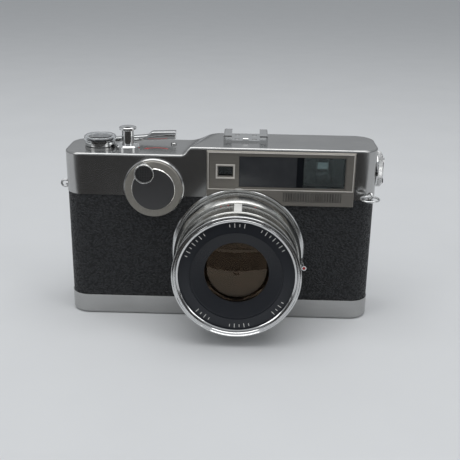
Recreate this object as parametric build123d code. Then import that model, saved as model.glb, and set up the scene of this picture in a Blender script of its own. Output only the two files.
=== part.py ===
from build123d import *
from math import cos, pi, radians, sin
import os

os.makedirs("parts", exist_ok=True)

# A 35 mm rangefinder camera with a fixed lens, in millimetres.
# X runs to the right as one faces the lens, the lens looks along -Y, and Z is up.
# The origin is the mouth of the tripod socket, in the middle of the base.

# ---- Body: overall sizes and shells ----
body_width = 142.0
body_depth = 30.0
corner_radius = 9.0
base_height = 9.6
seam_height = 59.6            # the covered body ends here and the top cover starts
low_deck = 78.9
high_deck = 82.6
deck_edge_radius = 1.0
base_edge_radius = 1.4
cover_wall = 1.0
base_floor = 1.2
covering_thickness = 0.9
covering_relief = 0.3         # how far the covering lies inside the metal covers' outline
step_front = (-18.0, -13.5)   # the deck's step, foot and head, along the front
step_back = (-16.5, 0.5)      # and along the back, where it is a gentle slope

# ---- Clearances ----
running_gap = 0.05            # radial, for a shaft in its hole
face_gap = 0.1                # between faces that slide past each other
panel_gap = 0.2               # between the back door and the covers

# ---- Casting, film path and door ----
casting_front_wall = 1.5
chamber_floor = 5.6
chamber_ceiling = 57.2
shelf_top = 60.6              # the casting's top, just inside the top cover
door_split_from_back = 6.0    # the door is everything behind this depth
door_wall = 1.2
door_recess = 0.8
cassette_radius = 12.6
chamber_end_wall = 1.7
frame_width = 36.0
frame_height = 24.0
spool_core_radius = 6.0
spool_flange_radius = 9.0
spool_bottom = 12.0
spool_top = 52.0
stud_seat = 2.0               # how deep the counter's stud runs in the spool's shaft
sprocket_teeth = 8
film_pitch = 4.75
sprocket_from_lens = -33.4
sprocket_half_height = 17.5
journal_radius = 1.5          # the pivots of spool and sprocket
pressure_plate_size = (50.0, 1.2, 34.0)
hinge_knuckle_radius = 1.2
hinge_pin_radius = 0.6
hinge_offset = 0.6            # the pin stands this far outside the end
hinge_knuckles = 5
hinge_bottom = 13.0
hinge_top = 56.0
end_strip_depth = 3.0         # the metal strips at both ends, in front of the door
latch_length = 10.0

# ---- Lens: walls outward from its bore, and stations measured forward from the body's front ----
lens_x = 8.6
lens_z = 33.4
housing_bore_radius = 21.0
housing_barrel_wall = 2.9
housing_drum_wall = 4.2
mount_tube_wall = 2.25
mount_flange_width = 2.6
escutcheon_margin = 1.6       # how far the trim ring stands out round the focus ring
escutcheon_thickness = 0.9
focus_ring_wall = 2.8
focus_nose_drop = 1.2
focus_start = 1.8
focus_bevel_start = 9.0
focus_end = 12.0
index_collar_wall = 0.7
speed_ring_wall = 2.1
speed_start = 12.3
speed_end = 23.5
middle_collar_wall = 1.1
aperture_ring_wall = 1.8
aperture_start = 25.0
aperture_end = 30.0
filter_thread_step = 0.2      # how far the filter thread lies outside the drum
filter_rim_wall = 2.5
filter_thread_length = 1.4
thread_relief = (0.4, 0.2)    # the groove behind the filter thread: its length and depth
lens_front = 31.6
rim_bevel_depth = 0.7
name_ring_width = 5.0
name_ring_thickness = 0.5
front_glass_inset = 6.1       # each glass's rim inside the housing's bore
rear_glass_inset = 10.4
front_glass = (20.0, 23.0)    # each glass's rim, back and front
middle_glass = (15.0, 17.0)
rear_glass = (-1.5, 1.5)
baffle_back = 13.0
iris_station = 10.4
iris_opening = 8.0
shutter_station = 8.0
blade_thickness = 0.12
blade_count = 5
sync_pin_radius = 1.15
sync_pin_beyond = 0.5         # how far beyond the trim ring's edge the pin stands
sync_pin_angle = -9.6
sync_pin_end = 6.0
sync_lever_reach = 2.0

# ---- Finder windows, above and behind the lens ----
bezel_left = -6.0
bezel_right_from_end = 10.7
bezel_top_from_deck = 1.2
bezel_thickness = 0.9
bezel_bottom = 56.4
bezel_recess = 0.4
window_left = 8.5
window_split = (34.3, 37.2)   # the dark bar between the frosted and the clear window
window_right_from_bezel = 4.3
window_bottom = 64.9
window_top = 79.0
window_thickness = 1.2
small_frame = (-1.8, 6.6, 68.8, 75.3)
small_window = (-0.8, 5.7, 70.0, 74.2)
trim_plate = (28.4, 54.8, 58.4, 62.8)
trim_plate_depth = 0.35
eyepiece_centre = (47.4, 69.0)
eyepiece_opening = (8.0, 5.0)
finder_wall = 0.8
finder_neck_start = 9.0       # where the finder box narrows, behind the front
mirror_behind_front = 9.0
mirror_size = (9.0, 1.0, 7.0)
mirror_post_radius = 1.2

# ---- Self-timer dial ----
timer_x = -29.8
timer_z = 63.5
timer_base_radius = 13.65
timer_base_width = 2.55
timer_base_height = 1.5
timer_ring_radius = 12.9
timer_ring_height = 1.4
timer_plate_radius = 9.85
timer_plate_height = 0.5
timer_knob_offset = (-3.7, 7.8)
timer_knob_radius = 4.45
timer_knob_height = 3.1
timer_shaft_radius = 2.0

# ---- Top deck: advance lever, counter, release button, shoe ----
advance_from_end = 15.15
advance_y = -2.2
hub_radius = 6.9
hub_bottom_gap = 0.8
hub_height = 2.3
hub_bore_radius = 2.0
lever_arm_height = 2.2
lever_tip_height = 3.9
counter_dome_height = 1.9
counter_dome_wall = 0.7
counter_dome_overhang = 0.5   # how far the dome stands out round the hub
counter_dial_radius = 5.9
release_bearing = -10.7       # from the lever's hub to the release
release_gap = 1.0
release_collar_radius = 5.6
release_collar_height = 2.0
release_shaft_radius = 2.75
release_flange_radius = 3.95
release_height = 10.1
release_travel = 1.8
release_shaft_depth = 6.0     # how far the button's shaft reaches below the deck
cable_thread_radius = 1.3
cable_thread_depth = 3.0
shoe_x = 11.1
shoe_front_y = -3.5
shoe_length = 14.5
shoe_outer_width = 20.3
shoe_inner_width = 18.7
shoe_lip_gap = 12.8
shoe_plate = 0.7
shoe_slot_height = 1.5
shoe_lip = 0.7
deck_screw_from_hub = (33.2, 6.9)

# ---- Rewind on the right end ----
rewind_z = 70.5
rewind_base_thickness = 0.8
rewind_knob_radius = 8.2
rewind_knob_thickness = 2.0
crank_thickness = 0.8
crank_width = 3.6
crank_lift = 0.3              # between the knob's face and the folded crank
crank_pivot_up = 5.0
crank_handle_down = 5.6
crank_handle_radius = 1.5
rewind_shaft_radius = 1.5
bevel_radius = 3.0
bevel_cone = 1.2

# ---- Strap lugs, base fittings ----
lug_z = 62.0
lug_left_y = -6.0
lug_loop_radius = 1.55
lug_wire_radius = 0.5
lug_right_angle = -62.0
lug_right_reach = 3.0
strap_ring_radius = 4.1
strap_ring_wire = 0.45
strap_ring_turn = 40.0
socket_radius = 5.0
socket_bore_radius = 3.175
socket_depth = 7.5
socket_height = 9.0
screw_hole_radius = 1.7
screw_head_radius = 1.65
screw_shank_radius = 1.0
screw_shank = 3.0
small_shank_radius = 0.6
shoe_screw_radius = 1.1
deck_screw_radius = 1.4
base_screw_from_end = 13.0
base_screw_y = 8.0
rewind_button_radius = 2.9
rewind_button_flange = 0.8

# ---- Places that follow from the sizes above ----
half_width = body_width / 2
half_depth = body_depth / 2
front_y = -half_depth
skin = covering_relief + covering_thickness
split_y = half_depth - door_split_from_back
casting_end = half_width - skin
hub_x = -half_width + advance_from_end
cassette_x = casting_end - chamber_end_wall - cassette_radius
sprocket_x = lens_x + sprocket_from_lens
bezel_right = half_width - bezel_right_from_end
window_right = bezel_right - window_right_from_bezel
bezel_top = high_deck - bezel_top_from_deck
hub_bottom = low_deck + hub_bottom_gap
hub_top = hub_bottom + hub_height
sleeve_radius = hub_bore_radius + 0.9     # the lever's sleeve, down through the deck
sleeve_room = sleeve_radius + 0.1
spool_shaft_top = shelf_top + 0.4
release_reach = hub_radius + release_collar_radius + release_gap
release_x = hub_x + release_reach * cos(radians(release_bearing))
release_y = advance_y + release_reach * sin(radians(release_bearing))
housing_barrel_radius = housing_bore_radius + housing_barrel_wall
housing_drum_radius = housing_bore_radius + housing_drum_wall
mount_tube_radius = housing_barrel_radius + running_gap + mount_tube_wall
mount_flange_radius = mount_tube_radius + mount_flange_width
focus_ring_radius = mount_tube_radius + focus_ring_wall
focus_nose_radius = focus_ring_radius - focus_nose_drop
escutcheon_radius = focus_ring_radius + escutcheon_margin
index_collar_radius = mount_tube_radius + index_collar_wall
speed_ring_radius = housing_drum_radius + speed_ring_wall
middle_collar_radius = housing_drum_radius + middle_collar_wall
aperture_ring_radius = housing_drum_radius + aperture_ring_wall
filter_thread_radius = housing_drum_radius + filter_thread_step
filter_rim_radius = filter_thread_radius + filter_rim_wall
name_ring_inner_radius = filter_thread_radius - name_ring_width
front_glass_radius = housing_bore_radius - front_glass_inset
rear_glass_radius = housing_bore_radius - rear_glass_inset
sync_pin_reach = escutcheon_radius + sync_pin_beyond
tube_end = focus_end - 1.4
tube_neck_radius = housing_barrel_radius + 0.5
tube_neck_depth = skin + 2.8
mirror_post_top = small_window[2] - 1.6

lens_seat = Plane(origin=(lens_x, front_y, lens_z), x_dir=(1, 0, 0), z_dir=(0, -1, 0))
timer_seat = Plane(origin=(timer_x, front_y, timer_z), x_dir=(1, 0, 0), z_dir=(0, -1, 0))
end_seat = Plane(origin=(half_width, 0, rewind_z), x_dir=(0, 1, 0), z_dir=(1, 0, 0))
hub_seat = Plane(origin=(hub_x, advance_y, 0))
release_seat = Plane(origin=(release_x, release_y, 0))


# ---- Shapes used all over ----
def block(x0, x1, y0, y1, z0, z1):
    """A box between two corners."""
    centre = ((x0 + x1) / 2, (y0 + y1) / 2, (z0 + z1) / 2)
    return Pos(*centre) * Box(abs(x1 - x0), abs(y1 - y0), abs(z1 - z0))


def disc(radius, start, end, x=0.0, y=0.0):
    """A cylinder along its seat's normal, from one station to another."""
    return Pos(x, y, start) * extrude(Circle(radius), end - start)


def ring(outer, inner, start, end):
    """A plain ring along its seat's normal."""
    return Pos(0, 0, start) * extrude(Circle(outer) - Circle(inner), end - start)


def turned(corners):
    """A body of revolution from its (radius, station) corners."""
    return revolve(Plane.XZ * make_face(Polyline(*corners, close=True)), Axis.Z, 360)


def slab(inset, z0, z1):
    """The body's rounded outline, drawn in by an inset, between two heights."""
    outline = RectangleRounded(body_width - 2 * inset, body_depth - 2 * inset, corner_radius - inset)
    return Pos(0, 0, z0) * extrude(outline, z1 - z0)


def screw(head_radius, head_height, shank_radius, shank_length):
    """A cheese-head screw with a cross slot, its head's underside at the origin."""
    head = chamfer(disc(head_radius, 0, head_height).edges().sort_by(Axis.Z)[-1], head_height * 0.3)
    slot = Box(head_radius * 1.4, head_radius * 0.3, head_height)
    slots = Pos(0, 0, head_height) * (slot + Rot(0, 0, 90) * slot)
    return head - slots + disc(shank_radius, -shank_length, 0)


# ---- Top cover, with its stepped deck ----
def deck_face(y, step, drop):
    """The cover's section across the width at one depth, its deck lowered by a drop."""
    low = low_deck - drop
    high = high_deck - drop
    middle = (step[0] + step[1]) / 2
    far = body_width
    below = seam_height - base_height
    outline = Polyline((-far, below), (-far, low), (step[0], low))
    outline += Bezier((step[0], low), (middle, low), (middle, high), (step[1], high))
    outline += Polyline((step[1], high), (far, high), (far, below), (-far, below))
    return Plane(origin=(0, y, 0), x_dir=(1, 0, 0), z_dir=(0, -1, 0)) * make_face(outline)


def under_deck(drop):
    """Everything below the deck's surface, its step running from front to back."""
    faces = [deck_face(front_y - 1, step_front, drop), deck_face(half_depth + 1, step_back, drop)]
    return loft(faces, ruled=True)


def on_rim(edge):
    """True for the edges along the deck's outer rim, not for those of the step."""
    centre = edge.center()
    inside = abs(centre.X) < half_width / 2 and abs(centre.Y) < half_depth / 2
    return edge.bounding_box().min.Z > low_deck - deck_edge_radius and not inside


def top_cover():
    shell = under_deck(0) & slab(0, seam_height, high_deck + 1)
    shell = fillet(shell.edges().filter_by(on_rim), deck_edge_radius)
    shell += hub_seat * disc(hub_radius + 0.2, low_deck - cover_wall, hub_bottom - face_gap)
    hollow = under_deck(cover_wall) & slab(cover_wall, seam_height - 1, high_deck)
    shell -= hollow
    shell -= block(small_frame[0] - running_gap, small_frame[1] + running_gap, front_y - 1,
                   front_y + 2 * cover_wall, small_frame[2] - running_gap, small_frame[3] + running_gap)
    shell -= block(window_left - 1, window_right + 1, front_y - 1, front_y + 2 * cover_wall,
                   window_bottom - 1, window_top + 1)
    shell -= timer_seat * disc(timer_shaft_radius + running_gap, -2 * cover_wall, 1)
    shell -= eyepiece_block(0, half_depth - 2 * cover_wall, half_depth + 1)
    shell -= hub_seat * disc(sleeve_room, low_deck - 2 * cover_wall, hub_bottom)
    shell -= release_seat * disc(release_shaft_radius + running_gap, low_deck - 2 * cover_wall, low_deck + 1)
    shell -= end_seat * disc(rewind_shaft_radius + running_gap, -2 * cover_wall, 1)
    for lug in (left_lug_stem(running_gap), right_lug_stem(running_gap)):
        shell -= lug
    shell -= deck_screw_shape(running_gap)
    shell -= lens_flange_room()
    for x, y in shoe_screw_places():
        shell -= disc(small_shank_radius + running_gap, high_deck - 2 * cover_wall, high_deck + 1, x, y)
    return shell


def eyepiece_block(margin, y0, y1):
    """The finder's rectangular opening at the back, with a margin round it."""
    half = (eyepiece_opening[0] / 2 + margin, eyepiece_opening[1] / 2 + margin)
    x, z = eyepiece_centre
    return block(x - half[0], x + half[0], y0, y1, z - half[1], z + half[1])


def lens_flange_room():
    """The round bite that the lens's flange takes out of both covers."""
    return lens_seat * disc(mount_flange_radius + running_gap, -skin, 1)


# ---- Base cover and its fittings ----
def base_screw_places():
    x = half_width - base_screw_from_end
    return [(sx * x, sy * base_screw_y) for sx in (-1, 1) for sy in (-1, 1)]


def base_cover():
    outer = slab(0, 0, base_height)
    outer = fillet(outer.faces().sort_by(Axis.Z)[0].edges(), base_edge_radius)
    pan = outer - slab(cover_wall, base_floor, base_height + 1)
    pan -= disc(socket_radius + running_gap, -1, base_floor + 1)
    pan -= disc(rewind_button_radius + running_gap, -1, base_floor + 1, sprocket_x)
    pan -= lens_flange_room()
    for x, y in base_screw_places():
        pan -= disc(screw_hole_radius, -1, base_floor + 1, x, y)
    return pan


def tripod_socket():
    insert = disc(socket_radius, 0, socket_height) - disc(socket_bore_radius, -1, socket_depth)
    return chamfer(insert.edges().sort_by(Axis.Z)[-1], 0.5)


def rewind_release():
    stem = disc(rewind_button_radius, 0.15, base_floor + face_gap, sprocket_x)
    wide = rewind_button_radius + rewind_button_flange
    flange = disc(wide, base_floor + face_gap, base_floor + 1.0, sprocket_x)
    return stem + flange - Pos(sprocket_x, 0, -1.6) * Sphere(2.2)


# ---- Casting ----
def casting_pocket(x0, x1):
    """A film chamber, open at the back, with rounded upright corners."""
    y0 = front_y + skin + casting_front_wall
    pocket = block(x0, x1, y0, half_depth, chamber_floor, chamber_ceiling)
    return fillet(pocket.edges().filter_by(Axis.Z).group_by(Axis.Y)[0], 5.0)


def body_casting():
    cast = slab(skin, base_floor, shelf_top)
    cast &= block(-body_width, body_width, -body_depth, split_y, 0, high_deck)
    left_wall = -casting_end + chamber_end_wall
    right_wall = casting_end - chamber_end_wall
    cast -= casting_pocket(left_wall, lens_x - housing_drum_radius - 0.4)
    cast -= casting_pocket(lens_x + housing_drum_radius + 1.2, right_wall)
    cast -= lens_seat * disc(tube_neck_radius + face_gap, -tube_neck_depth - face_gap, 1)
    tunnel_depth = 11.0
    cast -= lens_seat * disc(housing_bore_radius, -skin - tunnel_depth, 1)
    cast -= block(lens_x - frame_width / 2, lens_x + frame_width / 2, front_y + tunnel_depth, half_depth,
                  lens_z - frame_height / 2, lens_z + frame_height / 2)
    cast -= disc(socket_radius + running_gap, 0, socket_height + 0.1)
    flange = rewind_button_radius + rewind_button_flange
    cast -= disc(flange + panel_gap, 0, base_floor + 2.8, sprocket_x)
    for x, y in base_screw_places():
        cast -= disc(screw_hole_radius, 0, base_floor + 0.5, x, y)
        cast -= disc(screw_shank_radius + running_gap, 0, chamber_floor - 0.4, x, y)
    cast -= disc(rewind_shaft_radius + running_gap, chamber_ceiling - 1, shelf_top + 1, cassette_x)
    cast -= hub_seat * disc(sleeve_room, chamber_ceiling - 1, shelf_top + 1)
    pivot = journal_radius + running_gap
    cast -= hub_seat * disc(pivot, chamber_floor - 2, chamber_floor + 1)
    for z0, z1 in ((chamber_floor - 2, chamber_floor + 1), (chamber_ceiling - 1, chamber_ceiling + 2)):
        cast -= Pos(sprocket_x, sprocket_y(), 0) * disc(pivot, z0, z1)
    return cast + mirror_post()


# ---- Coverings ----
def front_covering():
    """The grained sheets on the front and round both ends, parted by the lens."""
    sheet = slab(covering_relief, base_height + face_gap, seam_height - face_gap)
    sheet -= slab(skin, base_height, seam_height)
    strip = split_y - end_strip_depth - face_gap
    sheet &= block(-body_width, body_width, -body_depth, strip - face_gap, 0, high_deck)
    return sheet - lens_flange_room()


def back_covering():
    x = half_width - corner_radius - 1.0
    pad = block(-x, x, half_depth - covering_relief - door_recess, half_depth - 0.2,
                base_height + 4.0, seam_height - 4.0)
    return fillet(pad.edges().filter_by(Axis.Y), 3.0)


# ---- Back door, its hinge, latch and film pressure plate ----
hinge_x = -half_width - hinge_offset
knuckle_length = (hinge_top - hinge_bottom) / hinge_knuckles


def knuckle(index, radius, y0, y1):
    """One hinge knuckle with the web that joins it to its leaf."""
    z0 = hinge_bottom + index * knuckle_length + face_gap
    z1 = hinge_bottom + (index + 1) * knuckle_length - face_gap
    barrel = Pos(hinge_x, split_y, 0) * disc(radius, z0, z1)
    web = block(hinge_x - 0.3, -half_width + skin, y0, y1, z0, z1)
    return barrel + web


def knuckle_room(index):
    """The space that the other leaf's knuckle turns in."""
    z0 = hinge_bottom + index * knuckle_length - face_gap
    z1 = hinge_bottom + (index + 1) * knuckle_length + face_gap
    return Pos(hinge_x, split_y, 0) * disc(hinge_knuckle_radius + 0.15, z0, z1)


def with_knuckles(leaf, mine, y0, y1):
    for index in range(hinge_knuckles):
        if index % 2 != mine:
            leaf -= knuckle_room(index)
    for index in range(mine, hinge_knuckles, 2):
        leaf += knuckle(index, hinge_knuckle_radius, y0, y1)
    return leaf - Pos(hinge_x, split_y, 0) * disc(hinge_pin_radius + running_gap, 0, high_deck)


def end_plates():
    """The metal strips at both ends in front of the door, the left one with its hinge knuckles."""
    return Compound([hinge_leaf(), latch_plate()])


def hinge_leaf():
    strip = block(-half_width + covering_relief, -casting_end, split_y - end_strip_depth - face_gap,
                  split_y - face_gap, base_height + panel_gap, seam_height - panel_gap)
    return with_knuckles(strip, 0, split_y - hinge_knuckle_radius, split_y - face_gap)


def door_hinge_pin():
    return Pos(hinge_x, split_y, 0) * disc(hinge_pin_radius, hinge_bottom, hinge_top)


def back_door():
    z0 = base_height + panel_gap
    z1 = seam_height - panel_gap
    shell = slab(covering_relief, z0, z1)
    hollow = slab(covering_relief + door_wall, z0 + door_wall, z1 - door_wall)
    hollow &= block(-body_width, body_width, -body_depth, door_inside(), z0, z1)
    shell = (shell - hollow) & block(-body_width, body_width, split_y + face_gap, body_depth, z0, z1)
    x = half_width - corner_radius - 1.0
    shell -= block(-x - 0.1, x + 0.1, half_depth - covering_relief - door_recess, body_depth,
                   base_height + 3.9, seam_height - 3.9)
    return with_knuckles(shell, 1, split_y + face_gap, split_y + hinge_knuckle_radius)


def door_inside():
    """How far back the inside of the door lies."""
    return half_depth - covering_relief - door_recess - door_wall


def latch_plate():
    return block(casting_end, half_width - covering_relief, split_y - end_strip_depth - face_gap,
                 split_y - face_gap, base_height + panel_gap, seam_height - panel_gap)


def door_latch():
    half = latch_length / 2
    thumb = block(half_width - covering_relief + face_gap, half_width + 0.9, split_y - end_strip_depth,
                  split_y - 3 * face_gap, lens_z - half, lens_z + half)
    for step in range(-3, 4):
        thumb -= block(half_width + 0.5, half_width + 1.5, split_y - 4, split_y,
                       lens_z + step * 1.2 - 0.25, lens_z + step * 1.2 + 0.25)
    return thumb


def pressure_plate():
    width, thickness, height = pressure_plate_size
    y = split_y + 0.4
    plate = block(lens_x - width / 2, lens_x + width / 2, y, y + thickness,
                  lens_z - height / 2, lens_z + height / 2)
    return fillet(plate.edges().filter_by(Axis.Y), 2.0)


def pressure_spring():
    """A bowed leaf between the plate and the door."""
    y0 = split_y + 0.4 + pressure_plate_size[1]
    y1 = door_inside()
    leaf = 0.25
    reach = 15.0
    inner = ThreePointArc((-reach, y1 - leaf), (0, y0), (reach, y1 - leaf))
    outer = ThreePointArc((-reach, y1), (0, y0 + leaf), (reach, y1))
    ends = Line((-reach, y1 - leaf), (-reach, y1)) + Line((reach, y1 - leaf), (reach, y1))
    strip = extrude(make_face(inner + outer + ends), 9.0)
    return Pos(lens_x, 0, lens_z - 4.5) * strip


# ---- Film transport ----
def sprocket_y():
    """The sprocket stands so that its rim touches the film plane."""
    return split_y - sprocket_teeth * film_pitch / (2 * pi)


def take_up_spool():
    spool = disc(spool_core_radius, spool_bottom, spool_top)
    for z in (spool_bottom, spool_top - 1.5):
        spool += disc(spool_flange_radius, z, z + 1.5)
    spool += disc(journal_radius, chamber_floor - 1.9, spool_bottom)
    spool += disc(sleeve_radius, spool_top, spool_shaft_top)
    spool -= disc(hub_bore_radius + running_gap, spool_shaft_top - stud_seat, spool_shaft_top + 1)
    spool -= block(-0.6, 0.6, 0, spool_core_radius + 1, spool_bottom + 5, spool_top - 5)
    return hub_seat * spool


def sprocket():
    radius = sprocket_teeth * film_pitch / (2 * pi) - 0.1
    drum = disc(radius, lens_z - sprocket_half_height, lens_z + sprocket_half_height)
    drum -= ring(radius + 1, radius - 1.6, lens_z - 11, lens_z + 11)
    tooth = Pos(radius + 0.3, 0, 0) * Rot(0, 90, 0) * Cone(0.9, 0.5, 1.2)
    for z in (lens_z - 14.0, lens_z + 14.0):
        for index in range(sprocket_teeth):
            drum += Pos(0, 0, z) * Rot(0, 0, (index + 0.5) * 360 / sprocket_teeth) * tooth
    drum += disc(journal_radius, chamber_floor - 1.9, chamber_ceiling + 1.9)
    return Pos(sprocket_x, sprocket_y(), 0) * drum


# ---- Windows ----
def front_plate(x0, x1, z0, z1, start, end):
    """A rectangle on the front, between two stations forward of the body."""
    return block(x0, x1, front_y - end, front_y - start, z0, z1)


def window_bezel():
    plate = front_plate(bezel_left, bezel_right, bezel_bottom, bezel_top, 0, bezel_thickness)
    plate -= front_plate(bezel_left - 1, lens_x + 10, bezel_bottom - 1, seam_height - 0.8, -1, 5)
    plate = chamfer(plate.faces().sort_by(Axis.Y)[0].edges(), 0.35)
    panel = window_bottom - 0.9
    plate -= front_plate(bezel_left + 0.8, window_right + 0.4, panel, bezel_top - 0.8,
                         bezel_thickness - bezel_recess, 2 * bezel_thickness)
    plate -= front_plate(window_left, window_right, window_bottom, window_top, -1, 2)
    plate += small_window_frame()
    plate -= front_plate(*small_window, -5, 5)
    plate -= front_plate(*trim_plate, bezel_thickness - trim_plate_depth, 2 * bezel_thickness)
    return plate - lens_seat * disc(escutcheon_radius + face_gap, -1, 5)


def frosted_window():
    return front_plate(window_left + face_gap, window_split[0], window_bottom + face_gap,
                       window_top - face_gap, -window_thickness + 0.3, 0.3)


def clear_window():
    return front_plate(window_split[1], window_right - face_gap, window_bottom + face_gap,
                       window_top - face_gap, -window_thickness + 0.3, 0.3)


def small_window_frame():
    frame = front_plate(*small_frame, -window_thickness + running_gap, bezel_thickness)
    return chamfer(frame.faces().sort_by(Axis.Y)[0].edges(), 0.3)


def small_window_glass():
    return front_plate(*small_window, -window_thickness + 0.2, 0.2)


def ribbed_trim():
    x0, x1, z0, z1 = trim_plate
    base = bezel_thickness - trim_plate_depth
    plate = front_plate(x0 + face_gap, x1 - face_gap, z0 + face_gap, z1 - face_gap, base, base + 0.3)
    rib_pitch = 1.1
    for index in range(int((x1 - x0) / rib_pitch)):
        x = x0 + (index + 0.5) * rib_pitch
        plate -= front_plate(x - 0.15, x + 0.15, z0 + 0.7, z1 - 0.7, base + 0.15, base + 1)
    return plate


def finder_housing():
    """The black box behind the windows: wide at the front, a neck towards the eye."""
    inside_front = front_y + window_thickness
    neck_y = front_y + finder_neck_start
    back = half_depth - cover_wall - face_gap
    x0 = window_split[0] + face_gap
    x1 = window_right + finder_wall + 0.2
    z0 = window_bottom - 1.0
    z1 = high_deck - cover_wall - 0.4
    box = block(x0, x1, inside_front, neck_y, z0, z1)
    box -= block(window_split[1] + 0.4, window_right, inside_front - 1, neck_y - finder_wall,
                 z0 + finder_wall, z1 - finder_wall)
    box += front_plate(window_split[0] + face_gap, window_split[1] - face_gap, window_bottom + face_gap,
                       window_top - face_gap, -window_thickness, 0.2)
    neck_x = (eyepiece_centre[0] - eyepiece_opening[0] / 2, eyepiece_centre[0] + eyepiece_opening[0] / 2)
    neck = block(neck_x[0] - finder_wall, neck_x[1] + finder_wall, neck_y, back, z0, z1)
    box += neck
    box -= block(neck_x[0], neck_x[1], neck_y - 2 * finder_wall, back - finder_wall,
                 z0 + finder_wall, z1 - finder_wall)
    return box - eyepiece_block(0, neck_y, half_depth)


def finder_objective():
    """A plain-edged concave glass in the finder's front, behind its window."""
    x = (window_split[1] + window_right) / 2 + 0.2
    z0 = window_bottom - 1.0 + finder_wall
    z1 = high_deck - cover_wall - 0.4 - finder_wall
    width = window_right - window_split[1] - 0.6
    y = front_y + window_thickness + 1.2
    glass = block(x - width / 2, x + width / 2, y, y + 2.0, z0 + face_gap, z1 - face_gap)
    return glass - Pos(x, y - 29.0, (z0 + z1) / 2) * Sphere(30.0)


def beam_splitter():
    x = eyepiece_centre[0]
    z = (window_bottom + window_top) / 2
    plate = Box(9.6, 0.8, 11.0)
    return Pos(x, front_y + finder_neck_start + 8.5, z) * Rot(0, 0, 45) * plate


def finder_glasses():
    """The finder's clear glasses: both front windows, objective, half mirror and eyepiece."""
    windows = [clear_window(), small_window_glass()]
    return Compound(windows + [finder_objective(), beam_splitter(), eyepiece_glass()])


def eyepiece_frame():
    frame = eyepiece_block(2.4, half_depth, half_depth + 1.5)
    frame = fillet(frame.edges().filter_by(Axis.Y), 2.0)
    frame = chamfer(frame.faces().sort_by(Axis.Y)[-1].edges(), 0.4)
    return frame - eyepiece_block(0.3, 0, body_depth)


def eyepiece_glass():
    return eyepiece_block(0.2, half_depth + 0.2, half_depth + 1.0)


def rangefinder_mirror():
    """A front-silvered mirror behind the small window, on a table that turns on its post."""
    x, z = small_window_centre()
    width, thickness, height = mirror_size
    seat = mirror_post_top + face_gap
    foot = z - height / 2
    mirror = block(-width / 2, width / 2, 0, thickness, foot, foot + height)
    table = disc(3.0, seat, foot) + disc(2.0, seat - 1.4, seat)
    table -= disc(mirror_post_radius + running_gap, seat - 3, seat)
    return Pos(x, front_y + mirror_behind_front, 0) * Rot(0, 0, -45) * (mirror + table)


def mirror_post():
    """The mirror's pivot post, standing on the casting's shelf."""
    x, z = small_window_centre()
    return disc(mirror_post_radius, shelf_top - 1, mirror_post_top, x, front_y + mirror_behind_front)


def small_window_centre():
    return (small_window[0] + small_window[1]) / 2, (small_window[2] + small_window[3]) / 2


# ---- Self-timer ----
def timer_base():
    edge = 0.5
    inner = timer_base_radius - timer_base_width
    corners = [(inner, 0), (timer_base_radius, 0), (timer_base_radius, timer_base_height - edge),
               (timer_base_radius - edge, timer_base_height), (inner, timer_base_height)]
    return timer_seat * turned(corners)


def timer_dial():
    start = timer_base_height + face_gap
    end = start + timer_ring_height
    dial = disc(timer_ring_radius, start, end)
    dial = chamfer(dial.edges().group_by(Axis.Z)[-1], 0.25)
    return timer_seat * (dial + disc(timer_shaft_radius, -7, start))


def timer_plate():
    start = timer_base_height + face_gap + timer_ring_height
    plate = disc(timer_plate_radius, start, start + timer_plate_height)
    plate = chamfer(plate.edges().group_by(Axis.Z)[-1], 0.3)
    x, y = timer_knob_offset
    return timer_seat * (plate - disc(timer_knob_radius + running_gap, 0, 10, x, y))


def timer_knob():
    start = timer_base_height + face_gap + timer_ring_height
    knob = disc(timer_knob_radius, start, start + timer_knob_height)
    knob = fillet(knob.edges().group_by(Axis.Z)[-1], 0.35)
    knob -= disc(timer_knob_radius - 0.6, start + timer_knob_height - 0.6, start + 10)
    x, y = timer_knob_offset
    return timer_seat * (Pos(x, y, 0) * knob)


# ---- Advance lever and film counter ----
def advance_lever():
    hub = ring(hub_radius, hub_bore_radius + running_gap, hub_bottom, hub_top)
    sleeve = ring(sleeve_radius, hub_bore_radius + running_gap, spool_shaft_top + 0.2, hub_bottom)
    arm_outline = Polyline((4.0, 5.0), (14.0, 5.5), (23.2, 5.8), (23.2, 9.7), (12.0, 8.9), (-2.0, 6.5),
                           close=True)
    arm = Pos(0, 0, hub_bottom + 0.1) * extrude(make_face(arm_outline), lever_arm_height)
    lever = hub + sleeve + arm - disc(hub_bore_radius + running_gap, shelf_top, hub_top + 1)
    return hub_seat * lever


def lever_tip():
    outline = Polyline((21.2, 5.6), (34.2, 6.0), (33.6, 10.3), (21.2, 10.1), close=True)
    tip = Pos(0, 0, hub_bottom + 1.5) * extrude(make_face(outline), lever_tip_height)
    tip = fillet(tip.edges().filter_by(Axis.Z), 0.8)
    slot = Polyline((19.0, 4.8), (23.3, 4.8), (23.3, 12.0), (19.0, 12.0), close=True)
    top_of_arm = hub_bottom + 0.1 + lever_arm_height
    tip -= extrude(make_face(slot), top_of_arm)
    return hub_seat * chamfer(tip.faces().sort_by(Axis.Z)[-1].edges(), 0.3)


def counter_post():
    """The fixed stud through the lever's hub, with the plate that the counter sits on."""
    plate = hub_top + face_gap
    foot = spool_shaft_top - stud_seat + face_gap
    stud = disc(hub_bore_radius, foot, plate) + disc(hub_radius - 0.1, plate, plate + 0.5)
    stud += disc(0.7, plate, plate + 1.3)
    return hub_seat * stud


def counter_dial():
    plate = hub_top + face_gap + 0.5
    return hub_seat * ring(counter_dial_radius, 0.7 + running_gap, plate + face_gap, plate + 0.5)


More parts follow.
